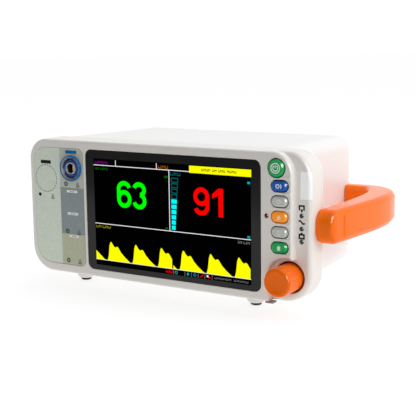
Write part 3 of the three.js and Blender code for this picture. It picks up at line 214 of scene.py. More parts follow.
# Marks that stand for words: colour, from and to along X, middle height, size, and widths of marks and gaps
SCREEN_MARKS = {
    "name_marks": ("magenta", -74.6, -61.7, 42.5, 2.2, "3141213"),
    "mode_marks": ("amber", -10.2, -0.4, 42.3, 2.3, "41313"),
    "saturation_marks": ("dim_teal", 1.9, 11.6, 37.2, 2.4, "31213"),
    "wave_marks": ("olive", -75.4, -60.2, -12.2, 2.0, "313241213"),
    "speed_marks": ("grey", 64.5, 75.2, -12.4, 1.9, "2122413"),
    "date_marks": ("grey", 42.6, 58.0, -43.6, 1.5, "31312131213"),
    "time_marks": ("grey", 60.7, 73.5, -43.6, 1.5, "212121213"),
}

# ---- the studio, in the row frame and in metres; the camera is in the display frame

FLOOR_SHADE = {"near": -0.37, "far": -0.6, "dimmest": 0.32}  # it darkens between two depths in front
FLOOR_LEVELS = {"Base Color": 0.30, "Emission Color": 0.76}
ROOM_LEVELS = {"Y": (-0.5, 0.3, 0.0, 1.06), "Z": (0.05, 0.9, 0.06, 0.66)}  # from, to, dim and bright
# Place, aim, size, power, colour, and whether it shows in highlights only
LIGHTS = {
    "top_light": ((0.1, 0.15, 1.6), (0, 0, 0.1), (1.6, 1.2), 4, (0.84, 0.92, 1.0), False),
    "side_light": ((1.5, 0.25, 0.9), (0.1, 0, 0.06), (0.9, 0.9), 8.5, (1.0, 0.97, 0.965), False),
    "highlight": ((1.06, -0.78, 0.61), (0.12, -0.05, 0.06), (0.7, 0.8), 58, (1.0, 1.0, 1.0), True),
}
CAMERA_PLACE = (453.749, -654.312, 143.359)
CAMERA_RIGHT = (0.84468, 0.53516, -0.01196)
CAMERA_DOWN = (0.07925, -0.14711, -0.98595)
CAMERA_FORWARD = (-0.52939, 0.83185, -0.16667)
CAMERA_LENS = 86.54

# The display frame's zero in the row frame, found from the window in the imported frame
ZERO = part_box("screen_glass")[0] - Vector((WINDOW["left"], FACE_FRONT, WINDOW["bottom"])) * MM
TO_ROW = Matrix.Translation(ZERO) @ Matrix.Scale(MM, 4)

# ---- outlines


def grown(rect, amount):
    """A rectangle made larger by the same amount on every side."""
    ways = {"left": -1, "right": 1, "bottom": -1, "top": 1}
    return {side: rect[side] + way * amount for side, way in ways.items()}


def about(centre, width, height):
    """A rectangle of a given size about a point."""
    x, z = centre
    return {"left": x - width / 2, "right": x + width / 2, "bottom": z - height / 2, "top": z + height / 2}


def rounded(rect, radii, steps=12):
    """Points round a rectangle with rounded corners, from the top of its right side."""
    if isinstance(radii, (int, float)):
        radii = (radii,) * 4
    corners = (("right", "top"), ("left", "top"), ("left", "bottom"), ("right", "bottom"))
    inwards = {"left": 1, "right": -1, "bottom": 1, "top": -1}
    points = []
    for quarter, (radius, (side, end)) in enumerate(zip(radii, corners)):
        radius = max(radius, 0.05)
        centre = (rect[side] + inwards[side] * radius, rect[end] + inwards[end] * radius)
        points += arc(centre, (radius, radius), 90 * quarter, 90 * (quarter + 1), steps)
    return points


def circle(centre, radius, steps=48):
    """Points round a circle."""
    x, z = centre
    turn = 2 * math.pi / steps
    return [(x + radius * math.cos(i * turn), z + radius * math.sin(i * turn)) for i in range(steps)]


def arc(centre, radii, start, end, steps=20):
    """Points along part of an ellipse, between two angles in degrees."""
    points = []
    for step in range(steps + 1):
        angle = math.radians(start + (end - start) * step / steps)
        points.append((centre[0] + radii[0] * math.cos(angle), centre[1] + radii[1] * math.sin(angle)))
    return points


def quarter(steps):
    """Pairs of shares, one falling from 1 to 0 and one rising from 0 to 1, round a quarter circle."""
    angles = [step / steps * math.pi / 2 for step in range(steps + 1)]
    return [(1 - math.sin(angle), 1 - math.cos(angle)) for angle in angles]


def grown_corners(corners, amount):
    """Corner radii that belong to a rectangle grown by an amount."""
    return tuple(max(corner + amount, 0.2) for corner in corners)


def outline_of(rect, corners, steps=12):
    """A rounded rectangle's outline, as a function of the margin by which it is grown."""
    if isinstance(corners, (int, float)):
        corners = (corners,) * 4
    return lambda margin: rounded(grown(rect, margin), grown_corners(corners, margin), steps)


def hole(centre, radius, steps=48):
    """A circle's outline, as a function of the margin by which it is grown."""
    return lambda margin: circle(centre, radius + margin, steps)


def bar(x0, x1, z0, z1):
    """The outline of a plain rectangle."""
    return [(x0, z0), (x1, z0), (x1, z1), (x0, z1)]


# ---- solids


def placed(name, data):
    """A new object in the scene, with the given mesh, light or camera."""
    made = bpy.data.objects.new(name, data)
    bpy.context.scene.collection.objects.link(made)
    return made


def solid(name, points, faces):
    """A mesh object from points and faces, with its faces turned outwards."""
    mesh = bpy.data.meshes.new(name)
    mesh.from_pydata(points, [], faces)
    shape = bmesh.new()
    shape.from_mesh(mesh)
    bmesh.ops.remove_doubles(shape, verts=shape.verts, dist=1e-4)
    bmesh.ops.recalc_face_normals(shape, faces=shape.faces)
    shape.to_mesh(mesh)
    shape.free()
    return placed(name, mesh)


def skin(rings, count, capped):
    """Faces between rings of points that follow one another, and over both ends."""
    faces = []
    for start in range(0, (rings - 1) * count, count):
        for i in range(count):
            j = (i + 1) % count
            faces.append((start + i, start + j, start + count + j, start + count + i))
    if capped:
        last = (rings - 1) * count
        faces += [tuple(range(count)), tuple(range(last, last + count))]
    return faces


def loft(name, rings):
    """A solid skinned over closed rings with equal numbers of points."""
    return solid(name, [point for ring in rings for point in ring], skin(len(rings), len(rings[0]), True))


def ring_at(y, outline):
    """A ring of points at one depth, from an outline in X and Z."""
    return [(x, y, z) for x, z in outline]


def prism(name, outline, y0, y1):
    """A straight solid with an outline in X and Z."""
    return loft(name, [ring_at(y0, outline), ring_at(y1, outline)])


def edged(name, outline_at, y0, y1, edge, steps=8):
    """A solid from y0 to y1 with a rounded edge at y0. outline_at(m) is its outline grown by m."""
    way = 1 if y1 > y0 else -1
    rings = [ring_at(y0 + way * edge * deep, outline_at(-edge * inwards)) for inwards, deep in quarter(steps)]
    rings.append(ring_at(y1, outline_at(0)))
    return loft(name, rings)


def opening(outline_at, face, end, soft=0.3, steps=4):
    """A cutting solid that leaves a softly rounded edge where it enters the face."""
    way = 1 if end > face else -1
    rings = [ring_at(face - way, outline_at(soft))]
    for outwards, deep in quarter(steps):
        rings.append(ring_at(face + way * soft * deep, outline_at(soft * outwards)))
    rings.append(ring_at(end, outline_at(0)))
    return loft("cutter", rings)


def turned(name, centre, profile, steps=64, upright=False):
    """A turned solid from (radius, place) pairs, about Y through (x, z) or about Z through (x, y)."""
    points = []
    for radius, place in profile:
        for u, v in circle(centre, radius, steps):
            points.append((u, v, place) if upright else (u, place, v))
    return solid(name, points, skin(len(profile), steps, profile[0] != profile[-1]))


def soft_profile(profile, soft=0.3, steps=3):
    """The same profile with each inner corner point replaced by a small rounding."""
    points = [profile[0]]
    for before, corner, after in zip(profile, profile[1:], profile[2:]):
        a, b, c = Vector(before), Vector(corner), Vector(after)
        reach = min(soft, (a - b).length * 0.45, (c - b).length * 0.45)
        start = b + (a - b).normalized() * reach
        end = b + (c - b).normalized() * reach
        for step in range(steps + 1):
            t = step / steps
            point = start * (1 - t) ** 2 + b * 2 * t * (1 - t) + end * t ** 2
            points.append(tuple(point))
    return points + [profile[-1]]


def combine(base, others, operation):
    """base with the other solids cut away, joined on or kept in common. The others are used up."""
    for other in others:
        step = base.modifiers.new("combine", "BOOLEAN")
        step.operation = operation
        step.solver = "MANIFOLD"
        step.object = other
    graph = bpy.context.evaluated_depsgraph_get()
    mesh = bpy.data.meshes.new_from_object(base.evaluated_get(graph))
    base.modifiers.clear()
    base.data = mesh
    for other in others:
        bpy.data.objects.remove(other)
    return base


def cut(base, *others):
    return combine(base, others, "DIFFERENCE")


def join(base, *others):
    return combine(base, others, "UNION")


def keep_common(base, other):
    return combine(base, [other], "INTERSECT")


def finished(piece, material, body="case", replaces=(), smooth=32):
    """Moves a piece into the row frame, smooths it up to an angle, and fixes it to its body."""
    piece.data.transform(TO_ROW)
    shape = bmesh.new()
    shape.from_mesh(piece.data)
    for face in shape.faces:
        face.smooth = True
    for edge in shape.edges:
        if len(edge.link_faces) == 2:
            edge.smooth = edge.calc_face_angle(0) < math.radians(smooth)
    shape.to_mesh(piece.data)
    shape.free()
    weigh = piece.modifiers.new("even flats", "WEIGHTED_NORMAL")
    weigh.keep_sharp = True
    weigh.weight = 60
    piece.data.materials.clear()
    piece.data.materials.append(material)
    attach(piece, body)
    if replaces:
        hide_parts(*replaces)
    return piece


# ---- materials


def feed(tree, socket, value):
    """Sets an input to a value, or links it to the output of another node."""
    if isinstance(value, bpy.types.NodeSocket):
        tree.links.new(value, socket)
    else:
        socket.default_value = value


def add(tree, kind, settings=None, **inputs):
    """A new node. Inputs are given by their names, with _ for a space."""
    node = tree.nodes.new("ShaderNode" + kind)
    for name, value in (settings or {}).items():
        setattr(node, name, value)
    for name, value in inputs.items():
        feed(tree, node.inputs[name.replace("_", " ")], value)
    return node


def material(name, base, roughness, metallic=0.0, gloss=0.5):
    """A node material. Returns the material, its node tree and its shader."""
    made = bpy.data.materials.new(name)
    made.use_nodes = True
    shader = made.node_tree.nodes["Principled BSDF"]
    shader.inputs["Base Color"].default_value = (*base, 1)
    shader.inputs["Roughness"].default_value = roughness
    shader.inputs["Metallic"].default_value = metallic
    shader.inputs["Specular IOR Level"].default_value = gloss
    return made, made.node_tree, shader


def noise(tree, scale, detail=3.0, stretch=(1, 1, 1)):
    """Noise in the row frame's metres. scale is in cycles per metre."""
    place = add(tree, "TexCoord").outputs["Object"]
    place = add(tree, "Mapping", Vector=place, Scale=stretch).outputs["Vector"]
    return add(tree, "TexNoise", Vector=place, Scale=scale, Detail=detail).outputs["Fac"]


def mapped(tree, source, start, end, low, high, shape="SMOOTHSTEP"):
    """A value mapped from start..end to low..high."""
    limits = {"From_Min": start, "From_Max": end, "To_Min": low, "To_Max": high}
    return add(tree, "MapRange", {"interpolation_type": shape}, Value=source, **limits).outputs["Result"]


def spread(tree, source, low, high):
    """A value mapped from 0.3..0.7 to low..high, which is about where noise lies."""
    return mapped(tree, source, 0.3, 0.7, low, high, "LINEAR")


def scaled(tree, colour, value):
    """A colour made darker or lighter by a value."""
    return add(tree, "VectorMath", {"operation": "SCALE"}, Vector=colour, Scale=value).outputs["Vector"]


def tint(tree, shader, base, source, low, high, into="Base Color"):
    """Feeds a colour input with the base colour, made a little darker or lighter by a source."""
    feed(tree, shader.inputs[into], scaled(tree, base, spread(tree, source, low, high)))


def roughen(tree, shader, source, low, high):
    """Roughness that follows a source."""
    feed(tree, shader.inputs["Roughness"], spread(tree, source, low, high))


def bump(tree, shader, source, height):
    """Bump of a given height in metres."""
    bumps = add(tree, "Bump", Strength=1.0, Distance=height, Height=source)
    feed(tree, shader.inputs["Normal"], bumps.outputs["Normal"])


def plastic(name, base, roughness=0.45, grain=1400, height=0.00002, gloss=0.5, coat=0.0):
    """Moulded plastic: fine spark-eroded grain, slow colour change and patchy gloss."""
    made, tree, shader = material(name, base, roughness, gloss=gloss)
    slow = noise(tree, 14, 4)
    tint(tree, shader, base, slow, 0.98, 1.02)
    roughen(tree, shader, slow, roughness - 0.04, roughness + 0.05)
    bump(tree, shader, noise(tree, grain, 2), height)
    shader.inputs["Coat Weight"].default_value = coat
    shader.inputs["Coat Roughness"].default_value = 0.1
    return made


def painted_glow(look, colour, strength):
    """A faint even painted glow, which makes a part look lit though no light is behind it."""
    shader = look.node_tree.nodes["Principled BSDF"]
    shader.inputs["Emission Color"].default_value = (*colour, 1)
    shader.inputs["Emission Strength"].default_value = strength


def rubber(name, base):
    """Matt rubber with a dusty, slightly uneven surface."""
    made, tree, shader = material(name, base, 0.8, gloss=0.3)
    dust = noise(tree, 160, 5)
    tint(tree, shader, base, dust, 0.8, 1.3)
    roughen(tree, shader, dust, 0.7, 0.92)
    bump(tree, shader, noise(tree, 2200, 2), 0.00003)
    return made


def metal(name, base, roughness=0.32, stretch=(1, 1, 24)):
    """Metal with fine brushing along one direction and a little tarnish."""
    made, tree, shader = material(name, base, roughness, 1.0)
    brushing = noise(tree, 420, 3, stretch)
    tint(tree, shader, base, noise(tree, 60, 4), 0.86, 1.04)
    roughen(tree, shader, brushing, roughness - 0.08, roughness + 0.12)
    bump(tree, shader, brushing, 0.00001)
    return made


def board(name, base):
    """Circuit board: solder mask over traces, with lighter pads."""
    made, tree, shader = material(name, base, 0.35)
    place = add(tree, "TexCoord").outputs["Object"]
    cells = add(tree, "TexVoronoi", {"distance": "MANHATTAN"}, Vector=place, Scale=260).outputs["Distance"]
    tint(tree, shader, base, cells, 1.7, 0.7)
    bump(tree, shader, cells, 0.00003)
    return made


def lit(name, base):
    """Light from the display, with a faint pixel pattern."""
    made, tree, shader = material(name, (0, 0, 0), 0.6, gloss=0.0)
    tint(tree, shader, base, noise(tree, 3200, 0), 0.94, 1.06, "Emission Color")
    shader.inputs["Emission Strength"].default_value = 1.0
    return made


def ink(name, base, gloss=0.5):
    """Screen-printed ink, with slightly uneven cover."""
    made, tree, shader = material(name, base, 0.5, gloss=gloss)
    cover = noise(tree, 700, 3)
    tint(tree, shader, base, cover, 0.93, 1.07)
    bump(tree, shader, cover, 0.000004)
    return made


def window_gloss(name, base):
    """Black printed border under a clear window, with a faint smear in its gloss."""
    made, tree, shader = material(name, base, 0.12, gloss=0.32)
    smear = noise(tree, 30, 4)
    tint(tree, shader, base, smear, 0.7, 1.3)
    roughen(tree, shader, smear, 0.1, 0.2)
    return made


HOUSING = plastic("housing_plastic", (0.845, 0.83, 0.82), 0.42)
# The bezel is a darker, warmer copy of the housing's plastic: painted shade for the front shell, whose front
# faces turn away from the lights
SHADED_BEZEL = plastic("bezel_plastic", (0.80, 0.77, 0.725), 0.42)
ORANGE = plastic("orange_plastic", (0.97, 0.165, 0.002), 0.15, grain=900, height=0.000003, gloss=0.16)
KNOB_ORANGE = plastic("knob_plastic", (0.93, 0.15, 0.0015), 0.15, grain=900, height=0.000003, gloss=0.14)
COLLAR_BLUE = plastic("collar_plastic", (0.0, 0.17, 0.50), 0.3, gloss=0.2)
COLLAR_NAVY = plastic("collar_navy", (0.003, 0.014, 0.075), 0.3, gloss=0.2)
COLLAR_MID_BLUE = plastic("collar_mid_blue", (0.04, 0.14, 0.50), 0.3, gloss=0.3)
COLLAR_BRONZE = metal("collar_bronze", (0.10, 0.075, 0.07), 0.35)
SOCKET_GREY = plastic("socket_plastic", (0.72, 0.72, 0.70), 0.35)
BLACK = plastic("black_plastic", (0.012, 0.012, 0.013), 0.4)
PALE_GREY = plastic("terminal_plastic", (0.55, 0.55, 0.54), 0.5)
KEY_LOOKS = {
    colour: plastic(f"{colour}_key_plastic", base, 0.3, gloss=0.2, coat=0.22)
    for colour, base in (
        ("green", (0.001, 0.43, 0.10)),
        ("blue", (0.0, 0.10, 0.50)),
        ("grey", (0.58, 0.60, 0.57)),
        ("orange", (1.0, 0.34, 0.012)),
    )
}
LABEL_GREY = ink("label_sheet", (0.68, 0.75, 0.64))
OLIVE = ink("label_olive", (0.52, 0.54, 0.45))
TEAL_GREY = ink("label_teal", (0.245, 0.30, 0.30))
TAN = ink("label_tan", (0.49, 0.51, 0.36))
INK_BLUE = ink("ink_blue", (0.0, 0.15, 0.42), 0.1)
INK_BLACK = ink("ink_black", (0.006, 0.006, 0.006), 0.15)
INK_GREY = ink("ink_grey", (0.05, 0.055, 0.05), 0.2)
INK_PALE = ink("ink_pale", (0.85, 0.86, 0.82))
INK_WHITE = ink("ink_white", (0.85, 0.85, 0.85))
RUBBER = rubber("foot_rubber", (0.035, 0.033, 0.032))
SEAL = rubber("seal_rubber", (0.05, 0.05, 0.05))
# Painted shade: a dark maroon lining that darkens the gap round the knob
POCKET_SHADE = rubber("pocket_painted_shade", (0.12, 0.012, 0.008))
BUMPER = rubber("bumper_rubber", (0.30, 0.25, 0.21))
STEEL = metal("screw_steel", (0.55, 0.56, 0.58))
SHEET = metal("sheet_steel", (0.60, 0.61, 0.63), stretch=(24, 1, 1))
ALUMINIUM = metal("mount_aluminium", (0.66, 0.67, 0.69), 0.4)
BRASS = metal("contact_brass", (0.72, 0.50, 0.20), 0.25)
BOARD = board("circuit_board", (0.015, 0.14, 0.05))
WINDOW_LOOK = window_gloss("window_border", (0.0025, 0.0027, 0.003))
SCREEN_BLACK = lit("screen_black", (0.0004, 0.0004, 0.0004))
RED_LENS = plastic("lamp_red", (0.045, 0.003, 0.003), 0.2)
GREEN_LENS = plastic("lamp_green", (0.004, 0.045, 0.012), 0.2)
ALARM_LENS = plastic("alarm_lens", (0.92, 0.93, 0.93), 0.3)
# Painted glow: it brightens the unlit alarm lens
painted_glow(ALARM_LENS, (1.0, 1.0, 1.0), 0.09)
# Painted glow: it brightens the orange key
painted_glow(KEY_LOOKS["orange"], (1.0, 0.25, 0.004), 0.14)
FOIL = metal("rating_foil", (0.62, 0.63, 0.65), 0.45)
BATTERY_WRAP = plastic("battery_wrap", (0.02, 0.06, 0.2), 0.35)

# ---- front shell

shell_outline = outline_of(SHELL, SHELL_CORNERS, 16)
panel_outline = outline_of(PANEL, PANEL_CORNERS, 16)


def oval_at(z, clearance=0.0):
    """The outline of an oval key or of its hole, as a function of the margin by which it is grown."""
    return outline_of(grown(about((KEY_X, z), *KEY_SIZE), clearance), KEY_SIZE[1] / 2 + clearance)


def knob_cut_outline(margin):
    """The corner of the raised panel that is cut away round the knob."""
    radius = KNOB_CUT_RADIUS + margin
    x, z = KNOB
    far = SHELL["bottom"] - 20
    return [(x - radius, far), (x + radius, far)] + arc(KNOB, (radius, radius), 0, 180, 40)


def shell_outside():
    """The outside of the front shell: the set-back base and the raised panel in front of it."""
    base = edged("shell", shell_outline, STRIP_SETBACK, SHELL_DEPTH, STRIP_EDGE)
    panel = edged("panel", panel_outline, 0, SHELL_DEPTH, PANEL_EDGE)
    cut(panel, opening(knob_cut_outline, 0, SHELL_DEPTH + 1, PANEL_EDGE, 8))
    return join(base, panel)


def shell_hollow():
    """The hollow inside the front shell, open at the back."""
    strip_back = STRIP_SETBACK + SHELL_WALL
    base = prism("hollow", shell_outline(-SHELL_WALL), strip_back, SHELL_DEPTH + 1)
    narrow = {**grown(PANEL, -SHELL_WALL), "right": PANEL["right"] - PANEL_RIGHT_WALL}
    corners = grown_corners(PANEL_CORNERS, -SHELL_WALL)
    panel = prism("panel_hollow", rounded(narrow, corners, 8), FRONT_WALL, SHELL_DEPTH + 1)
    cut(panel, prism("cutter", knob_cut_outline(SHELL_WALL), -1, strip_back))
    return join(base, panel)


def alarm_box(margin):
    """The alarm lamp's corner of the shell."""
    rect = {**grown(ALARM, margin), "right": ALARM["right"]}
    return prism("alarm_box", rounded(rect, 0.8, 4), STRIP_SETBACK - 3, ALARM_BACK + margin)


def front_shell():
    """Front shell with its seats, key holes, pockets and foot cups."""
    shell = cut(shell_outside(), shell_hollow())
    pocket_floor = STRIP_SETBACK + KNOB_POCKET_DEPTH
    cup = circle(KNOB, KNOB_POCKET_RADIUS + SHELL_WALL)
    cups = [foot_cup(place) for place in FRONT_FEET.values()]
    join(shell, prism("pocket_cup", cup, STRIP_SETBACK + 1, pocket_floor + SHELL_WALL), *cups)
    through = FRONT_WALL + 1
    window_seat = outline_of(grown(WINDOW, SEAT_GAP), WINDOW_CORNER + SEAT_GAP)
    label_seat = outline_of(grown(LABEL, SEAT_GAP), grown_corners(LABEL_CORNERS, SEAT_GAP))
    tools = [
        opening(window_seat, 0, WINDOW_SEAT, 0.5),
        prism("cutter", rounded(grown(DISPLAY, 2.2), 1.5, 4), 1, through),
        opening(label_seat, 0, LABEL_SEAT, 0.4),
        prism("cutter", circle(CONNECTOR, CONNECTOR_HOLE), -1, through),
        opening(hole(KNOB, KNOB_POCKET_RADIUS), STRIP_SETBACK, pocket_floor, 0.9, 6),
        prism("cutter", circle(KNOB, 5), STRIP_SETBACK, pocket_floor + 4),
        opening(hole(POWER_KEY, POWER_RADIUS + KEY_CLEARANCE), 0, through, 0.35),
        opening(hole(FAULT_LAMP, LAMP_RADIUS + 0.2), 0, through, 0.2),
        alarm_box(0.05),
        opening(outline_of(POWER_POCKET, POWER_POCKET_CORNERS, 8), 0, POCKET_DEPTH, 0.4),
    ]
    for z in KEY_HEIGHTS:
        pocket = about((POCKET["x"], z), POCKET["width"], POCKET["height"])
        tools.append(opening(oval_at(z, KEY_CLEARANCE), 0, through, 0.35))
        tools.append(opening(outline_of(pocket, POCKET["corner"], 6), 0, POCKET_DEPTH, 0.4))
    for z in STATUS_HEIGHTS:
        tools.append(opening(hole((STATUS_X, z), LAMP_RADIUS + 0.2), STRIP_SETBACK, STRIP_SETBACK + 4, 0.2))
    tools += [foot_hollow(place) for place in FRONT_FEET.values()]
    cut(shell, *tools)
    finished(shell, SHADED_BEZEL, replaces=["front_bezel"])


def alarm_lamp():
    """Translucent lamp that forms the corner of the strip and the right wall."""
    lamp = keep_common(shell_outside(), alarm_box(-0.1))
    cut(lamp, shell_hollow())
    finished(lamp, ALARM_LENS, replaces=["alarm_lamp"])


# ---- feet


def foot_part(name, place, profile, level, soft=0.0):
    """A turned part of a foot, with its profile's heights measured from a level."""
    profile = [(radius, level + height) for radius, height in profile]
    return turned(name, place, soft_profile(profile, soft) if soft else profile, upright=True)


def foot_cup(place):
    """A bowl under the shell."""
    return foot_part("cup", place, FOOT_CUP, SHELL["bottom"], 0.7)


def foot_hollow(place):
    """The hollow in a cup that holds its pad."""
    return foot_part("cutter", place, FOOT_HOLLOW, FLOOR)


def feet():
    """Rubber pads in the cups."""
    for end, pair in {"front": FRONT_FEET, "back": BACK_FEET}.items():
        for side, place in pair.items():
            pad = foot_part(f"pad_{end}_{side}", place, FOOT_PAD, FLOOR, 0.5)
            finished(pad, RUBBER, replaces=[f"foot_{end}_{side}"])


# ---- rear housing


def rear_rect(share, smaller):
    """The housing's section at a share of its depth, made smaller all round."""
    rect = {side: REAR_FRONT[side] * (1 - share) + REAR_BACK[side] * share for side in REAR_FRONT}
    return grown(rect, -smaller)


def rear_block(name, front, back, smaller, edge, steps=10):
    """The housing's tapered block with its back edge rounded over."""
    corners = grown_corners(REAR_CORNERS, -smaller)
    rings = [ring_at(front, rounded(rear_rect(0, smaller), corners, 12))]
    for short, inwards in quarter(steps):
        y = back - edge * short
        rect = rear_rect(y / REAR_DEPTH, smaller + edge * inwards)
        rings.append(ring_at(y, rounded(rect, grown_corners(corners, -edge * inwards), 12)))
    return loft(name, rings)

def box_solid(x, y, z):
    """A plain box between two corners, for cutting."""
    return prism("cutter", rounded({"left": x[0], "right": x[1], "bottom": z[0], "top": z[1]}, 0.1, 1), *y)


def vents():
    """Upright vent slots in the back wall."""
    tools = []
    for i in range(VENTS["count"]):
        x = VENTS["x"] + (i - (VENTS["count"] - 1) / 2) * VENTS["pitch"]
        slot = about((x, VENTS["z"]), VENTS["width"], VENTS["height"])
        outline_at = outline_of(slot, VENTS["width"] / 2 - 0.05, 8)
        tools.append(opening(outline_at, REAR_DEPTH, REAR_DEPTH - 5, 0.6))
    return tools


def speaker_slots():
    """Level slots through the left wall."""
    y, half = SPEAKER["y"], SPEAKER["slot"] / 2
    tools = []
    for i in range(SPEAKER["count"]):
        rise = (i - (SPEAKER["count"] - 1) / 2) * SPEAKER["pitch"]
        reach = math.sqrt(SPEAKER["radius"] ** 2 - rise ** 2) - 1
        z = SPEAKER["z"] + rise
        tools.append(box_solid((-138, -124), (y - reach, y + reach), (z - half, z + half)))
    return tools


def rear_housing():
    """Housing with its bay, vents, screw wells, hatch and foot cups."""
    shell = rear_block("back_shell", FLANGE_FRONT, REAR_DEPTH, 0, REAR_EDGE)
    join(shell, edged("flange", shell_outline, FLANGE_BACK, FLANGE_FRONT, FLANGE_EDGE))
    depth = REAR_DEPTH - REAR_WALL
    cut(shell, rear_block("hollow", FLANGE_FRONT - 1, depth, REAR_WALL, REAR_EDGE - REAR_WALL, 4))
    well_floor = REAR_DEPTH - WELL_DEPTH
    bay_front = REAR_DEPTH - BAY_DEPTH - BAY_WALL
    bay_wall = rounded(grown(TERMINAL_BAY, BAY_WALL), 4, 8)
    additions = [prism("bay", bay_wall, bay_front, REAR_DEPTH - 1)]
    additions += [prism("boss", circle(c, BOSS_RADIUS), well_floor - 3, REAR_DEPTH - 1) for c in CASE_SCREWS]
    additions += [foot_cup(place) for place in BACK_FEET.values()]
    bottom = SHELL["bottom"]
    (x0, x1), (y0, y1) = BATTERY_HATCH
    additions.append(box_solid((x0 - 3, x1 + 3), (y0 - 3, y1 + 3), (bottom + 1.2, bottom + 5.4)))
    join(shell, *additions)
    tools = [
        opening(outline_of(TERMINAL_BAY, 2.5, 8), REAR_DEPTH, bay_front - 1, 0.8, 6),
        opening(outline_of(RATING_PLATE, 3, 8), REAR_DEPTH, REAR_DEPTH - 0.8, 0.3),
        box_solid(*BATTERY_HATCH, (bottom - 5, bottom + 3.1)),
        box_solid((x0 + 4, x1 - 4), (y0 + 10, y1 - 10), (bottom - 5, bottom + 8)),
        box_solid(*MOUNT_PLATE, (bottom - 5, bottom + 6)),
    ]
    tools += [opening(hole(c, WELL_RADIUS), REAR_DEPTH, well_floor, 0.6) for c in CASE_SCREWS]
    tools += [foot_hollow(place) for place in BACK_FEET.values()]
    cut(shell, *tools, *vents(), *speaker_slots())
    finished(shell, HOUSING, replaces=["rear_housing"])


def case_screws():
    """Heads and shanks of the case screws, with a cross recess."""
    seat = REAR_DEPTH - WELL_DEPTH + 0.3
    tip, top = seat - 24, seat + 2.8
    profile = soft_profile([(0.01, tip), (1.9, tip), (1.9, seat), (3.6, seat), (3.6, top), (0.01, top)], 0.5)
    recess = (seat + 1.6, seat + 4)
    for i, (x, z) in enumerate(CASE_SCREWS, 1):
        screw = turned(f"case_screw_piece_{i}", (x, z), profile, 32)
        for wide, high in ((2.2, 0.45), (0.45, 2.2)):
            cut(screw, box_solid((x - wide, x + wide), recess, (z - high, z + high)))
        finished(screw, STEEL, replaces=[f"case_screw_{i}"])


# ---- window and prints


def window():
    """The black window, with the dark display area as a face of its own on it."""
    glass = edged("window", outline_of(WINDOW, WINDOW_CORNER, 16), FACE_FRONT, 1.4, 0.35, 4)
    finished(glass, WINDOW_LOOK, replaces=["screen_glass"])
    area = rounded(DISPLAY_AREA, 0.6, 4)
    sheet("display_area", [area], SCREEN_BLACK, FACE_FRONT - 0.02)


def sheet(name, outlines, look, y, body="case"):
    """Thin printed or lit shapes whose front is at one depth. Shapes that touch are welded together."""
    points = []
    faces = []
    for outline in outlines:
        faces.append(tuple(range(len(points), len(points) + len(outline))))
        points += [(x, y, z) for x, z in outline]
    mesh = bpy.data.meshes.new(name)
    mesh.from_pydata(points, [], faces)
    shape = bmesh.new()
    shape.from_mesh(mesh)
    bmesh.ops.remove_doubles(shape, verts=shape.verts, dist=0.005)
    grown_part = bmesh.ops.extrude_face_region(shape, geom=shape.faces[:], use_keep_orig=True)
    moved = [item for item in grown_part["geom"] if isinstance(item, bmesh.types.BMVert)]
    bmesh.ops.translate(shape, verts=moved, vec=(0, PRINT_THICKNESS, 0))
    bmesh.ops.recalc_face_normals(shape, faces=shape.faces)
    shape.to_mesh(mesh)
    shape.free()
    mesh.transform(TO_ROW)
    mesh.materials.append(look)
    piece = placed(name, mesh)
    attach(piece, body)
    return piece


def stroke(points, width, closed=False):
    """A line of even width along points, as one four-sided outline for each stretch."""
    line = [Vector(p) for p in points]
    count = len(line)
    sides = []
    for i, here in enumerate(line):
        before = line[(i - 1) % count] if closed or i > 0 else here
        after = line[(i + 1) % count] if closed or i + 1 < count else here
        along = (after - before).normalized()
        across = Vector((-along.y, along.x)) * width / 2
        sides.append((tuple(here + across), tuple(here - across)))
    pairs = zip(sides, sides[1:] + sides[:1] if closed else sides[1:])
    return [[a[0], a[1], b[1], b[0]] for a, b in pairs]


def marks(x0, x1, z, height, pattern):
    """Small marks in place of words. pattern has one digit for the width of each mark and each gap."""
    widths = [int(digit) for digit in pattern]
    scale = (x1 - x0) / sum(widths)
    low, high = z - height / 2, z + height / 2
    shapes = []
    x = x0
    for i, width in enumerate(widths):
        if i % 2 == 0:
            end = x + width * scale
            stem = min(0.42, width * scale * 0.45)
            shapes += [bar(x, x + stem, low, high), bar(end - stem, end, low, high)]
            level = low if i % 4 == 0 else (low + high) / 2
            shapes.append(bar(x + stem, end - stem, level, level + height * 0.28))
        x += width * scale
    return shapes


# ---- picture on the screen


def digit_six(x, z, turned_over=False):
    """A six, or a nine when it is turned over, with its bottom left corner at x, z."""
    s = DIGIT["stroke"]
    w, h = DIGIT["width"] - s, DIGIT["height"] - s
    bowl, hook = 0.30 * h, 0.27 * h
    line = arc((w / 2, h - hook), (w / 2, hook), 18, 180, 24)
    line += arc((w / 2, bowl), (w / 2, bowl), 180, 540, 48)
    if turned_over:
        line = [(w - px, h - pz) for px, pz in line]
    return stroke([(x + s / 2 + px, z + s / 2 + pz) for px, pz in line], s)


def digit_three(x, z):
    s = DIGIT["stroke"]
    w, h = DIGIT["width"] - s - 0.4, DIGIT["height"] - s
    upper, lower = 0.235 * h, 0.275 * h
    line = arc((w / 2, h - upper), (w / 2 * 0.94, upper), 162, -80, 32)
    line += arc((w / 2, lower), (w / 2, lower), 78, -162, 36)
    return stroke([(x + s / 2 + px, z + s / 2 + pz) for px, pz in line], s)


def digit_one(x, z):
    s, h = DIGIT["stroke"] + 0.5, DIGIT["height"]
    stem = 10.1
    flag = [(x, z + 0.64 * h), (x, z + 0.79 * h), (x + stem - s, z + h), (x + stem - s, z + 0.75 * h)]
    return [bar(x + stem - s, x + stem, z, z + h), flag]


def pulse(x0, end=math.inf):
    """One pulse of the wave, filled down to the base line, up to a place where it is cut off."""
    shapes = []
    for (xa, za), (xb, zb) in zip(PULSE, PULSE[1:]):
        if xb <= end:
            top = [(x0 + xb, BASE_LINE + zb), (x0 + xa, BASE_LINE + za)]
            shapes.append([(x0 + xa, BASE_LINE), (x0 + xb, BASE_LINE)] + top)
    return shapes


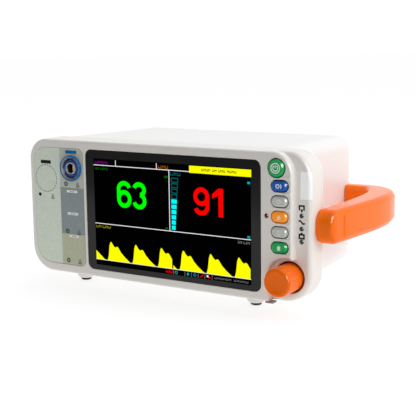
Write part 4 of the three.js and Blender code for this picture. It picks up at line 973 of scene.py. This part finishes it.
def box_outline(x0, x1, z0, z1, width=0.7):
    """Four bars round a rectangle."""
    return [
        bar(x0, x1, z0, z0 + width),
        bar(x0, x1, z1 - width, z1),
        bar(x0, x0 + width, z0, z1),
        bar(x1 - width, x1, z0, z1),
    ]


def screen_picture():
    """Everything that the display shows."""
    looks = {colour: lit(f"lit_{colour}", base) for colour, base in SCREEN_COLOURS.items()}

    def show(name, colour, outlines, lift=0.0):
        sheet(f"screen_{name}", outlines, looks[colour], PICTURE - lift)

    lines = [bar(-76.4, 76.2, z - 0.3, z + 0.3) for z in (TOP_LINE, MIDDLE_LINE, BASE_LINE)]
    lines.append(bar(DIVIDER_X - 0.35, DIVIDER_X + 0.35, MIDDLE_LINE, TOP_LINE))
    lines += [bar(x - 0.3, x + 0.3, TOP_LINE, 45) for x in (-53.2, -11.7)]
    show("lines", "white", lines)
    low = 5.7
    show("rate", "green", digit_six(-52.4, low) + digit_three(-36.8, low))
    show("saturation", "red", digit_six(23.7, low, turned_over=True) + digit_one(41.2, low))
    show("level", "cyan", [bar(2.4, 6.1 + 0.33 * i, -8.3 + 4.3 * i, -4.9 + 4.3 * i) for i in range(6)])
    outlined = []
    for i in range(4):
        outlined += box_outline(2.5, 8.1 + 0.4 * i, 17.1 + 4.4 * i, 20.9 + 4.4 * i, 0.65)
    show("level_rest", "dim_teal", outlined)
    show_wave(show)
    show("alert_box", "yellow", [bar(20.0, 76.6, 39.2, 44.9)], 0.006)
    show("alert_marks", "dark", marks(31.5, 63.5, 42.2, 2.0, "4141414441444141444141414"), 0.012)
    for name, (colour, *place, pattern) in SCREEN_MARKS.items():
        show(name, colour, marks(*place, pattern))
    green = marks(-74.9, -61.6, 37.3, 1.9, "312341313")
    green += [bar(-4.3, -0.8, 33.6, 35.2), bar(-3.9, -1.4, -8.4, -7.0)]
    show("rate_marks", "dim_green", green)
    show("limit_marks", "teal", [bar(73.1, 75.6, 33.7, 35.5), bar(73.0, 75.4, -8.5, -6.8)])
    status_icons(show)


def show_wave(show):
    """The pulses of the wave, with what is left of two more beside the gap and at the left edge."""
    wave = []
    for start in PULSE_STARTS:
        wave += pulse(start)
    for start in CUT_PULSES:
        wave += pulse(start, PULSE_CUT)
    wave.append([(-76.2, BASE_LINE), (-66.6, BASE_LINE), (-76.2, BASE_LINE + 7.6)])
    wave.append([(3.2, BASE_LINE), (7.0, BASE_LINE), (3.2, BASE_LINE + 3.2)])
    show("wave", "yellow", wave, 0.005)


def status_icons(show):
    """Small boxed signs under the base line: rings, a diamond, a stroke and a square."""
    z, low, high = -43.4, -45.4, -41.6
    edges = (3.4, 14.4, 20.8, 27.2, 33.6, 40.4)
    show("sign_frames", "grey", [bar(x - 0.25, x + 0.25, low, high) for x in edges])
    rings = stroke(circle((6.0, z), 1.1, 16), 0.55, closed=True)
    rings += stroke(circle((24.0, z), 1.1, 16), 0.4, closed=True)
    rings.append([(16.1, z), (17.4, z - 1.6), (18.7, z), (17.4, z + 1.6)])
    show("sign_rings", "teal", rings)
    red = [bar(36.9, 38.6, z - 1.3, z + 0.3)]
    red += stroke([(28.8, z - 1.2), (30.4, z - 0.2), (32.2, z + 1.2)], 0.7)
    red += marks(-4.2, 2.4, z, 1.8, "31213")
    show("sign_red", "red", red)
    show("sign_white", "white", [bar(35.3, 36.9, z - 0.4, z + 1.3)])


# ---- label


def label_part(name, look, rect, replaces=()):
    """One coloured part of the label sheet."""
    part = edged(name, outline_of(LABEL, LABEL_CORNERS), FACE_FRONT, 0.8, 0.15, 2)
    keep_common(part, prism("cutter", bar(*rect), -1, 2))
    cut(part, prism("cutter", circle(CONNECTOR, CONNECTOR_HOLE), -1, 2))
    finished(part, look, replaces=replaces)


def label():
    """The printed label panel: a pale column, three coloured zones and small signs."""
    left, column, right = LABEL["left"] - 1, LABEL_COLUMN_RIGHT, LABEL["right"] + 1
    low, (lower, upper), high = LABEL["bottom"] - 1, LABEL_ZONES, LABEL["top"] + 1
    label_part("label_column", LABEL_GREY, (left, column, low, high), ["sensor_overlay"])
    label_part("label_upper", OLIVE, (column, right, upper, high))
    label_part("label_middle", TEAL_GREY, (column, right, lower, upper))
    label_part("label_lower", TAN, (column, right, low, lower))

    def printed(name, outlines, look, lift=0.02):
        sheet(f"label_{name}", outlines, look, FACE_FRONT - lift)

    printed("blue", [bar(-107.1, -94.8, 48.1, 51.0)], INK_BLUE)
    printed("black", [bar(-135.1, -123.8, 38.2, 41.2), circle((-137.4, 10.7), 1.6, 20)], INK_BLACK)
    pale = [bar(-106.9, -95.2, 14.4, 16.5), bar(-106.8, -95.0, -5.1, -2.8), bar(-105.5, -95.5, -24.8, -22.9)]
    printed("pale", pale, INK_PALE)
    words = marks(-103.6, -98.4, 15.4, 0.9, "21312")
    words += marks(-103.4, -98.2, -4.0, 0.9, "31212")
    words += marks(-102.8, -98.0, -23.9, 0.9, "21312")
    for z in (21.8, -19.5, -45.4):
        words += person_sign(-107.4, z)
        words += bell_sign(-94.6, z)
    words += bell_sign(-122.9, 10)
    printed("signs", words, INK_GREY, 0.03)
    printed("dots", [circle(p, 0.5, 8) for p in circle((-129.6, 25.4), 11.8, 36)], INK_BLACK)


def person_sign(x, z):
    """A small round sign with a dot in it."""
    return stroke(circle((x, z), 1.6, 16), 1.0, closed=True) + [circle((x, z), 0.6, 10)]


def bell_sign(x, z):
    """A small triangle with a line under it."""
    outline = stroke([(x - 1.3, z - 0.6), (x, z + 1.8), (x + 1.3, z - 0.6)], 1.0, closed=True)
    return outline + [bar(x - 2.0, x + 2.0, z - 2.3, z - 1.5)]


def connector():
    """The oximeter connector: nested rings, a black bore with a key in it, and contacts deep inside."""
    back = 12
    # Front edge of each ring as (radius, depth) from its inner to its outer side
    rings = {
        "collar": (COLLAR_BLUE, [(9.95, -1.6), (10.2, -2.2), (10.6, -2.4), (11.0, -2.1), (11.2, -1.4)]),
        "collar_bead": (SOCKET_GREY, [(9.5, -1.5), (9.7, -1.9), (9.9, -1.5)]),
        "collar_band": (COLLAR_BRONZE, [(8.75, -0.8), (9.1, -1.2), (9.45, -0.9)]),
        "collar_lip": (PALE_GREY, [(8.45, -1.1), (8.57, -1.35), (8.7, -1.1)]),
        "collar_step": (COLLAR_NAVY, [(7.1, 0.3), (7.4, -0.3), (8.0, -0.9), (8.4, -0.8)]),
        "collar_lining": (COLLAR_MID_BLUE, [(5.95, -0.5), (6.2, -1.1), (6.7, -1.1), (7.05, -0.4)]),
        "socket_gap": (COLLAR_NAVY, [(5.1, 0.6), (5.3, 0.2), (5.7, 0.2), (5.9, 0.6)]),
        "socket_ring": (SOCKET_GREY, [(4.35, -1.2), (4.5, -1.6), (4.8, -1.6), (5.05, -1.1)]),
        "socket_bore": (BLACK, [(3.6, -0.2), (3.8, -0.6), (4.1, -0.8), (4.3, -0.6)]),
    }
    replaced = {"collar": ["spo2_collar"], "socket_ring": ["spo2_socket"]}
    for name, (look, front) in rings.items():
        inner, outer = front[0][0], front[-1][0]
        behind = min(outer, 9.9)
        profile = front + [(outer, -0.2), (behind, -0.1), (behind, back), (inner, back), front[0]]
        finished(turned(name, CONNECTOR, profile, 96), look, replaces=replaced.get(name, ()))
    profile = soft_profile([(0, 7), (3.55, 7), (3.55, 12.7), (0, 12.7)])
    block = turned("contact_block", CONNECTOR, profile, 48)
    x, z = CONNECTOR
    for dz in (-1.4, 1.4):
        for dx in (-2, 0, 2):
            cut(block, prism("cutter", circle((x + dx, z + dz), 0.55, 12), 6, 10))
    finished(block, BLACK, replaces=["spo2_contacts"])
    key = prism("socket_key", rounded(about((x + 2.3, z), 2.2, 4.4), 0.5, 5), 0.4, 7.2)
    finished(key, BRASS)


# ---- keys and lamps


def bevelled(name, outline_at, inset):
    """A key cap whose edge is a slope with a soft start and end. inset is the slope's width."""
    places = [(0, KEY_BACK), (0, 0.5), (0.12, 0.2), (inset * 0.82, 0.84 * KEY_FRONT)]
    places += [(inset, 0.96 * KEY_FRONT), (inset + 0.25, KEY_FRONT)]
    return loft(name, [ring_at(y, outline_at(-0.15 - inwards)) for inwards, y in places])


def key_cap(node, outline_at, centre, rim):
    """A key: crowned cap with a shallow dish in its front, over a stem."""
    cap = bevelled(f"{node}_cap", outline_at, rim - 0.6)
    cut(cap, opening(lambda margin: outline_at(margin - rim), KEY_FRONT, KEY_FRONT + KEY_DISH, 0.2, 3))
    join(cap, prism("stem", circle(centre, 2, 24), 5.0, 8.2))
    colour = KEY_COLOURS[node]
    finished(cap, KEY_LOOKS[colour], body=f"{node}_body", replaces=[node])


def key_sign(name, node, outlines, look):
    """A sign printed on a key, which moves with it."""
    sheet(name, outlines, look, KEY_SIGNS, body=f"{node}_body")


def keys():
    """The round power key and the column of five oval keys, with their signs."""
    key_cap("power_key", hole(POWER_KEY, POWER_RADIUS, 64), POWER_KEY, POWER_RIM)
    x, z = POWER_KEY
    rings = stroke(circle(POWER_KEY, 3.7, 40), 0.85, closed=True)
    rings += stroke(arc(POWER_KEY, (2.1, 2.1), 122, 418, 32), 0.85)
    rings.append(bar(x - 0.4, x + 0.4, z + 0.1, z + 2.5))
    key_sign("power_sign", "power_key", rings, INK_WHITE)
    for node, z in zip(list(KEY_COLOURS)[1:], KEY_HEIGHTS):
        key_cap(node, oval_at(z), (KEY_X, z), OVAL_RIM)
    x = KEY_X
    settings_z, upper_z, alarm_z, lower_z, start_z = KEY_HEIGHTS
    gear = stroke(circle((x - 1.0, settings_z), 1.25, 16), 0.75, closed=True)
    gear += [circle(p, 0.32, 6) for p in circle((x - 1.0, settings_z), 1.75, 8)]
    gear += stroke(arc((x + 0.2, settings_z), (1.9, 1.9), -55, 55, 12), 0.8)
    key_sign("settings_sign", "settings_key", gear, INK_WHITE)
    ring = stroke(circle((x, upper_z), 1.4, 16), 0.5, True)
    key_sign("upper_grey_sign", "upper_grey_key", ring, INK_PALE)
    bell = [[(x - 1.5, alarm_z - 0.9), (x + 1.5, alarm_z - 0.9), (x, alarm_z + 1.9)]]
    bell.append(bar(x - 1.7, x + 1.7, alarm_z - 1.9, alarm_z - 1.3))
    key_sign("alarm_sign", "alarm_key", bell, INK_WHITE)
    press = stroke(arc((x, lower_z - 0.2), (1.3, 1.3), 20, 340, 20), 0.5)
    press.append(circle((x, lower_z + 1.4), 0.5, 10))
    key_sign("lower_grey_sign", "lower_grey_key", press, INK_PALE)
    page = [bar(x - 1.3, x + 1.3, start_z - 1.9, start_z + 1.3)]
    page.append(bar(x - 0.7, x + 0.7, start_z + 1.5, start_z + 2.0))
    key_sign("start_sign", "start_key", page, INK_WHITE)


def lamp_dome(name, node, centre, front, look):
    """A small domed lens."""
    profile = [(0, front), (0.8, front + 0.12), (1.25, front + 0.45), (LAMP_RADIUS, front + 0.9)]
    profile += [(LAMP_RADIUS, front + 3), (0, front + 3)]
    lens = turned(name, centre, soft_profile(profile, 0.2), 32)
    finished(lens, look, replaces=[node])


def lamps():
    """The fault lamp beside the keys and three status lamps on the strip, with their signs."""
    lamp_dome("fault_lens", "fault_lamp", FAULT_LAMP, -0.4, RED_LENS)
    for node, z in zip(("display_lamp", "mains_lamp", "battery_lamp"), STATUS_HEIGHTS):
        lamp_dome(f"{node}_lens", node, (STATUS_X, z), STRIP_SETBACK - 0.3, GREEN_LENS)
    printed = STRIP_SETBACK - 0.03
    x = STATUS_X + 0.2
    z = 17.1
    plug = box_outline(x - 2.6, x + 2.6, z - 1.5, z + 2.6, 1.3)[1:]
    plug += [bar(x - 2.5, x - 1.4, z - 1.5, z - 0.6), bar(x + 1.4, x + 2.5, z - 1.5, z - 0.6)]
    plug += [bar(x - 0.9, x + 0.9, z - 2.4, z - 0.6), bar(x - 0.35, x + 0.35, z - 3.2, z - 2.4)]
    z = 6.5
    tilde = []
    for t in (i / 16 for i in range(17)):
        tilde.append((x - 2.6 + 5.2 * t, z + 0.85 * math.sin(2 * math.pi * t) - 0.9 * (t - 0.5)))
    z = -4.3
    battery = box_outline(x - 2.6, x + 2.6, z - 2.2, z + 2.0, 1.3)
    battery.append(bar(x - 0.9, x + 0.9, z + 2.0, z + 2.9))
    sheet("status_signs", plug + stroke(tilde, 1.3) + battery, INK_BLACK, printed)


# ---- knob


def knob_pocket_shade():
    """Dark maroon lining of the knob's pocket: painted shade for the deep gap round the knob."""
    back = STRIP_SETBACK + KNOB_POCKET_DEPTH
    inner, outer = KNOB_POCKET_RADIUS - 0.3, KNOB_POCKET_RADIUS - 0.02
    ring = [(5.0, back), (5.0, back - 0.3), (inner, back - 0.3), (inner, STRIP_SETBACK + 1)]
    ring += [(outer, STRIP_SETBACK + 0.9), (outer, back), (5.0, back)]
    finished(turned("knob_pocket_shade", KNOB, ring, 96), POCKET_SHADE)


def knob():
    """Rotary knob: a cap with a rounded rim, a slightly sunk front and shallow flutes round its side."""
    skirt = KNOB_RADIUS - 0.05
    face = [(0, 0.6), (3, 0.52), (6, 0.25), (7.8, -0.08), (8.4, -0.2)]
    profile = [(radius, KNOB_FRONT + sunk) for radius, sunk in face]
    for inwards, deep in quarter(8):
        profile.append((skirt - KNOB_RIM * inwards, KNOB_FRONT - 0.25 + KNOB_RIM * deep))
    profile += [(skirt, KNOB_FRONT + step) for step in (3.2, 4.5, 6)]
    profile += [(skirt, KNOB_BACK), (9.4, KNOB_BACK), (9.4, 1.5), (5.2, 1.5), (5.2, 0.5), (0, 0.5)]
    cap = turned("knob_cap", KNOB, profile, KNOB_FLUTES * 8)
    for vertex in cap.data.vertices:
        x, z = vertex.co.x - KNOB[0], vertex.co.z - KNOB[1]
        radius = math.hypot(x, z)
        if radius < skirt - 0.02:
            continue
        fade = min(max((vertex.co.y - KNOB_FRONT - 2.3) / 3, 0), 1)
        depth = FLUTE_DEPTH * fade * (0.5 - 0.5 * math.cos(KNOB_FLUTES * math.atan2(z, x)))
        shrink = (radius - depth) / radius
        vertex.co.x = KNOB[0] + x * shrink
        vertex.co.z = KNOB[1] + z * shrink
    finished(cap, KNOB_ORANGE, body="encoder_rotor", replaces=["encoder_knob"])


# ---- handle

HANDLE_LINE = [Vector((x, y)) for x, y, width in HANDLE_STATIONS]
HANDLE_WIDTHS = [Vector((width, 0)) for x, y, width in HANDLE_STATIONS]


def spline(points, place, power):
    """A point on a Catmull-Rom curve. power is 0.5 for a centripetal one and 0 for a uniform one."""
    i = min(int(place), len(points) - 2)
    padded = [points[0] * 2 - points[1], *points, points[-1] * 2 - points[-2]]
    near = padded[i:i + 4]
    times = [0.0]
    for a, b in zip(near, near[1:]):
        times.append(times[-1] + (b - a).length ** power)
    t = times[1] + (place - i) * (times[2] - times[1])

    def mix(a, b, start, end):
        return a * ((end - t) / (end - start)) + b * ((t - start) / (end - start))

    firsts = [mix(near[k], near[k + 1], times[k], times[k + 1]) for k in range(3)]
    seconds = [mix(firsts[k], firsts[k + 1], times[k], times[k + 2]) for k in range(2)]
    return mix(*seconds, times[1], times[2])


def handle_at(place):
    """The bar's centre at a place between its stations, the direction across it, and half its width."""
    centre = spline(HANDLE_LINE, place, 0.5)
    near = 0.01 if place < len(HANDLE_LINE) - 1 else -0.01
    along = (spline(HANDLE_LINE, place + near, 0.5) - centre).normalized() * math.copysign(1, near)
    return centre, Vector((along.y, -along.x)), spline(HANDLE_WIDTHS, place, 0).x / 2


def ring_across(centre, across, section):
    """A ring of points across the bar, from pairs of a distance sideways and a height."""
    spots = [(centre + across * sideways, z) for sideways, z in section]
    return [(spot.x, spot.y, z) for spot, z in spots]


def handle_section(half_width, lost):
    """The bar's section, made lower by an amount at its top and its bottom."""
    bottom, top = HANDLE_BOTTOM + lost, HANDLE_TOP - lost
    corner = min(HANDLE_CORNER, (top - bottom) / 2 - 0.2)
    rect = {"left": -half_width, "right": half_width - GRIP["rise"], "bottom": bottom, "top": top}
    return rounded(rect, corner, 8)


def handle_rings():
    """Sections from the domed front end along the bar to the rear leg."""
    rings = []
    for degrees in (4, 14, 24, 34, 44, 54, 64, 74, 83):
        angle = math.radians(degrees)
        lost = 1 - math.sin(angle)
        slimmer = DOME["width"] * lost / 2
        centre = HANDLE_LINE[0] - Vector((slimmer, DOME["depth"] * math.cos(angle)))
        section = handle_section(HANDLE_WIDTHS[0].x / 2 - slimmer, DOME["height"] * lost)
        rings.append(ring_across(centre, Vector((1, 0)), section))
    steps = 64
    for step in range(steps + 1):
        centre, across, half = handle_at((len(HANDLE_LINE) - 1) * step / steps)
        rings.append(ring_across(centre, across, handle_section(half, 0)))
    return rings


def grip_places():
    """Stations along the raised pad, closer together where its ends are rounded."""
    turns = [1 - math.cos(math.radians(degrees)) for degrees in range(0, 91, 15)]
    first = [GRIP["start"] + GRIP["round_end"] * turn for turn in turns]
    last = [GRIP["end"] - GRIP["round_end"] * turn for turn in reversed(turns)]
    gap = (last[0] - first[-1]) / 36
    return first + [first[-1] + gap * step for step in range(1, 36)] + last


def grip_pad():
    """The slightly raised pad with rounded ends on the outer face of the bar."""
    middle = (HANDLE_TOP + HANDLE_BOTTOM) / 2
    rings = []
    for place in grip_places():
        centre, across, outer = handle_at(place)
        from_end = min(place - GRIP["start"], GRIP["end"] - place)
        turn = min(from_end / GRIP["round_end"], 1)
        high = HANDLE_TOP - middle - GRIP["margin"] - GRIP["corner"] * (1 - math.sqrt(turn * (2 - turn)))
        face = outer - GRIP["rise"] * (1 - min(from_end / 0.05, 1))
        half = [(outer - 2, high), (outer - GRIP["rise"], high), (face, high - GRIP["bevel"])]
        section = [(u, middle + z) for u, z in half] + [(u, middle - z) for u, z in reversed(half)]
        rings.append(ring_across(centre, across, section))
    return loft("pad", rings)


def handle():
    """Carrying handle: the bar, its rear leg and a short front leg behind the front shell."""
    piece = loft("handle", handle_rings())
    join(piece, grip_pad())
    leg_front = FLANGE_BACK + 0.3
    leg = {"left": 90, "right": 130, "bottom": HANDLE_BOTTOM + 2, "top": HANDLE_TOP - 2}
    join(piece, prism("leg", rounded(leg, 4, 8), leg_front, leg_front + 9))
    housing = rear_block("cutter", SHELL_DEPTH, REAR_DEPTH + 1, -0.3, 0.5)
    shell = prism("cutter", bar(80, SHELL["right"] + 0.3, -60, 60), 0, leg_front)
    behind = box_solid((60, 160), (REAR_DEPTH - 0.05, REAR_DEPTH + 9), (HANDLE_BOTTOM - 5, HANDLE_TOP + 5))
    cut(piece, housing, shell, behind)
    finished(piece, ORANGE, replaces=["carrying_handle"])


# ---- looks of the CAD nodes that stay

NODE_LOOKS = (
    (SEAL, "seam_gasket"),
    (FOIL, "rating_plate"),
    (BLACK, "screen_mask lcd_panel speaker mains_inlet fuse_drawer"),
    (SHEET, "lcd_bracket chassis network_port nurse_call_port"),
    (BOARD, "spo2_board key_board alarm_board main_board"),
    (RUBBER, "key_mat"),
    (ALUMINIUM, "encoder_body power_supply mount_plate"),
    (BRASS, "encoder_plunger ground_post"),
    (STEEL, "encoder_shaft handle_screw_front handle_screw_back battery_screw_1 battery_screw_2"),
    (BATTERY_WRAP, "battery_pack"),
    (PALE_GREY, "terminal_plate"),
    (BUMPER, "front_bumper"),
    (HOUSING, "battery_cover"),
)


def dress_nodes():
    """Gives every CAD node that stays in view its material."""
    for look, names in NODE_LOOKS:
        for name in names.split():
            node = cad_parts[name]
            if not node.material_slots:
                node.data.materials.append(look)
            for place in node.material_slots:
                place.material = look


# ---- studio


def floor():
    """A wide pale floor, bright enough to run into the background, which darkens well in front."""
    made, tree, shader = material("studio_floor", (0.36, 0.36, 0.36), 0.8, gloss=0.0)
    place = add(tree, "TexCoord").outputs["Object"]
    depth = add(tree, "SeparateXYZ", Vector=place).outputs["Y"]
    fade = mapped(tree, depth, FLOOR_SHADE["far"], FLOOR_SHADE["near"], FLOOR_SHADE["dimmest"], 1.0)
    for socket, level in FLOOR_LEVELS.items():
        feed(tree, shader.inputs[socket], scaled(tree, (level,) * 3, fade))
    shader.inputs["Emission Strength"].default_value = 1.0
    mesh = bpy.data.meshes.new("studio_floor")
    outline = [(x, y, 0.0) for x, y in circle((0, 0), 12, 96)]
    mesh.from_pydata(outline, [], [tuple(range(len(outline)))])
    mesh.materials.append(made)
    plane = placed("studio_floor", mesh)
    plane.location.z = CAD_BOX[0].z - 0.0002


def surroundings():
    """A room that is bright behind the object and overhead, and dim in front of it."""
    world = bpy.data.worlds.new("studio")
    bpy.context.scene.world = world
    world.use_nodes = True
    tree = world.node_tree
    direction = add(tree, "SeparateXYZ", Vector=add(tree, "TexCoord").outputs["Generated"])
    brighter = add(tree, "Math", {"operation": "MAXIMUM"})
    for socket, (axis, levels) in zip(brighter.inputs, ROOM_LEVELS.items()):
        feed(tree, socket, mapped(tree, direction.outputs[axis], *levels))
    background = tree.nodes["Background"]
    background.inputs["Color"].default_value = (1, 1, 1, 1)
    feed(tree, background.inputs["Strength"], brighter.outputs["Value"])


def softbox(name, place, aim, size, power, colour, highlights_only):
    """A rectangular area light."""
    data = bpy.data.lights.new(name, "AREA")
    data.shape = "RECTANGLE"
    data.size, data.size_y = size
    data.energy = power
    data.color = colour
    light = placed(name, data)
    light.location = place
    light.rotation_mode = "QUATERNION"
    light.rotation_quaternion = (Vector(aim) - Vector(place)).to_track_quat("-Z", "Y")
    light.visible_diffuse = not highlights_only


def camera():
    """The camera at the viewing angle of the picture, with its sensor 36 mm wide."""
    data = bpy.data.cameras.new("camera")
    data.lens = CAMERA_LENS
    data.clip_start = 0.01
    data.clip_end = 50
    eye = placed("camera", data)
    right, down, forward = Vector(CAMERA_RIGHT), Vector(CAMERA_DOWN), Vector(CAMERA_FORWARD)
    turn = Matrix((right, -down, -forward)).transposed()
    eye.matrix_world = Matrix.Translation(TO_ROW @ Vector(CAMERA_PLACE)) @ turn.to_4x4()
    bpy.context.scene.camera = eye


def studio():
    """Floor, surroundings, lights and camera."""
    bpy.context.scene.view_settings.view_transform = "Standard"
    floor()
    surroundings()
    for name, settings in LIGHTS.items():
        softbox(name, *settings)
    camera()


# ---- everything

front_shell()
alarm_lamp()
feet()
rear_housing()
case_screws()
window()
screen_picture()
label()
connector()
keys()
lamps()
knob_pocket_shade()
knob()
handle()
dress_nodes()
studio()
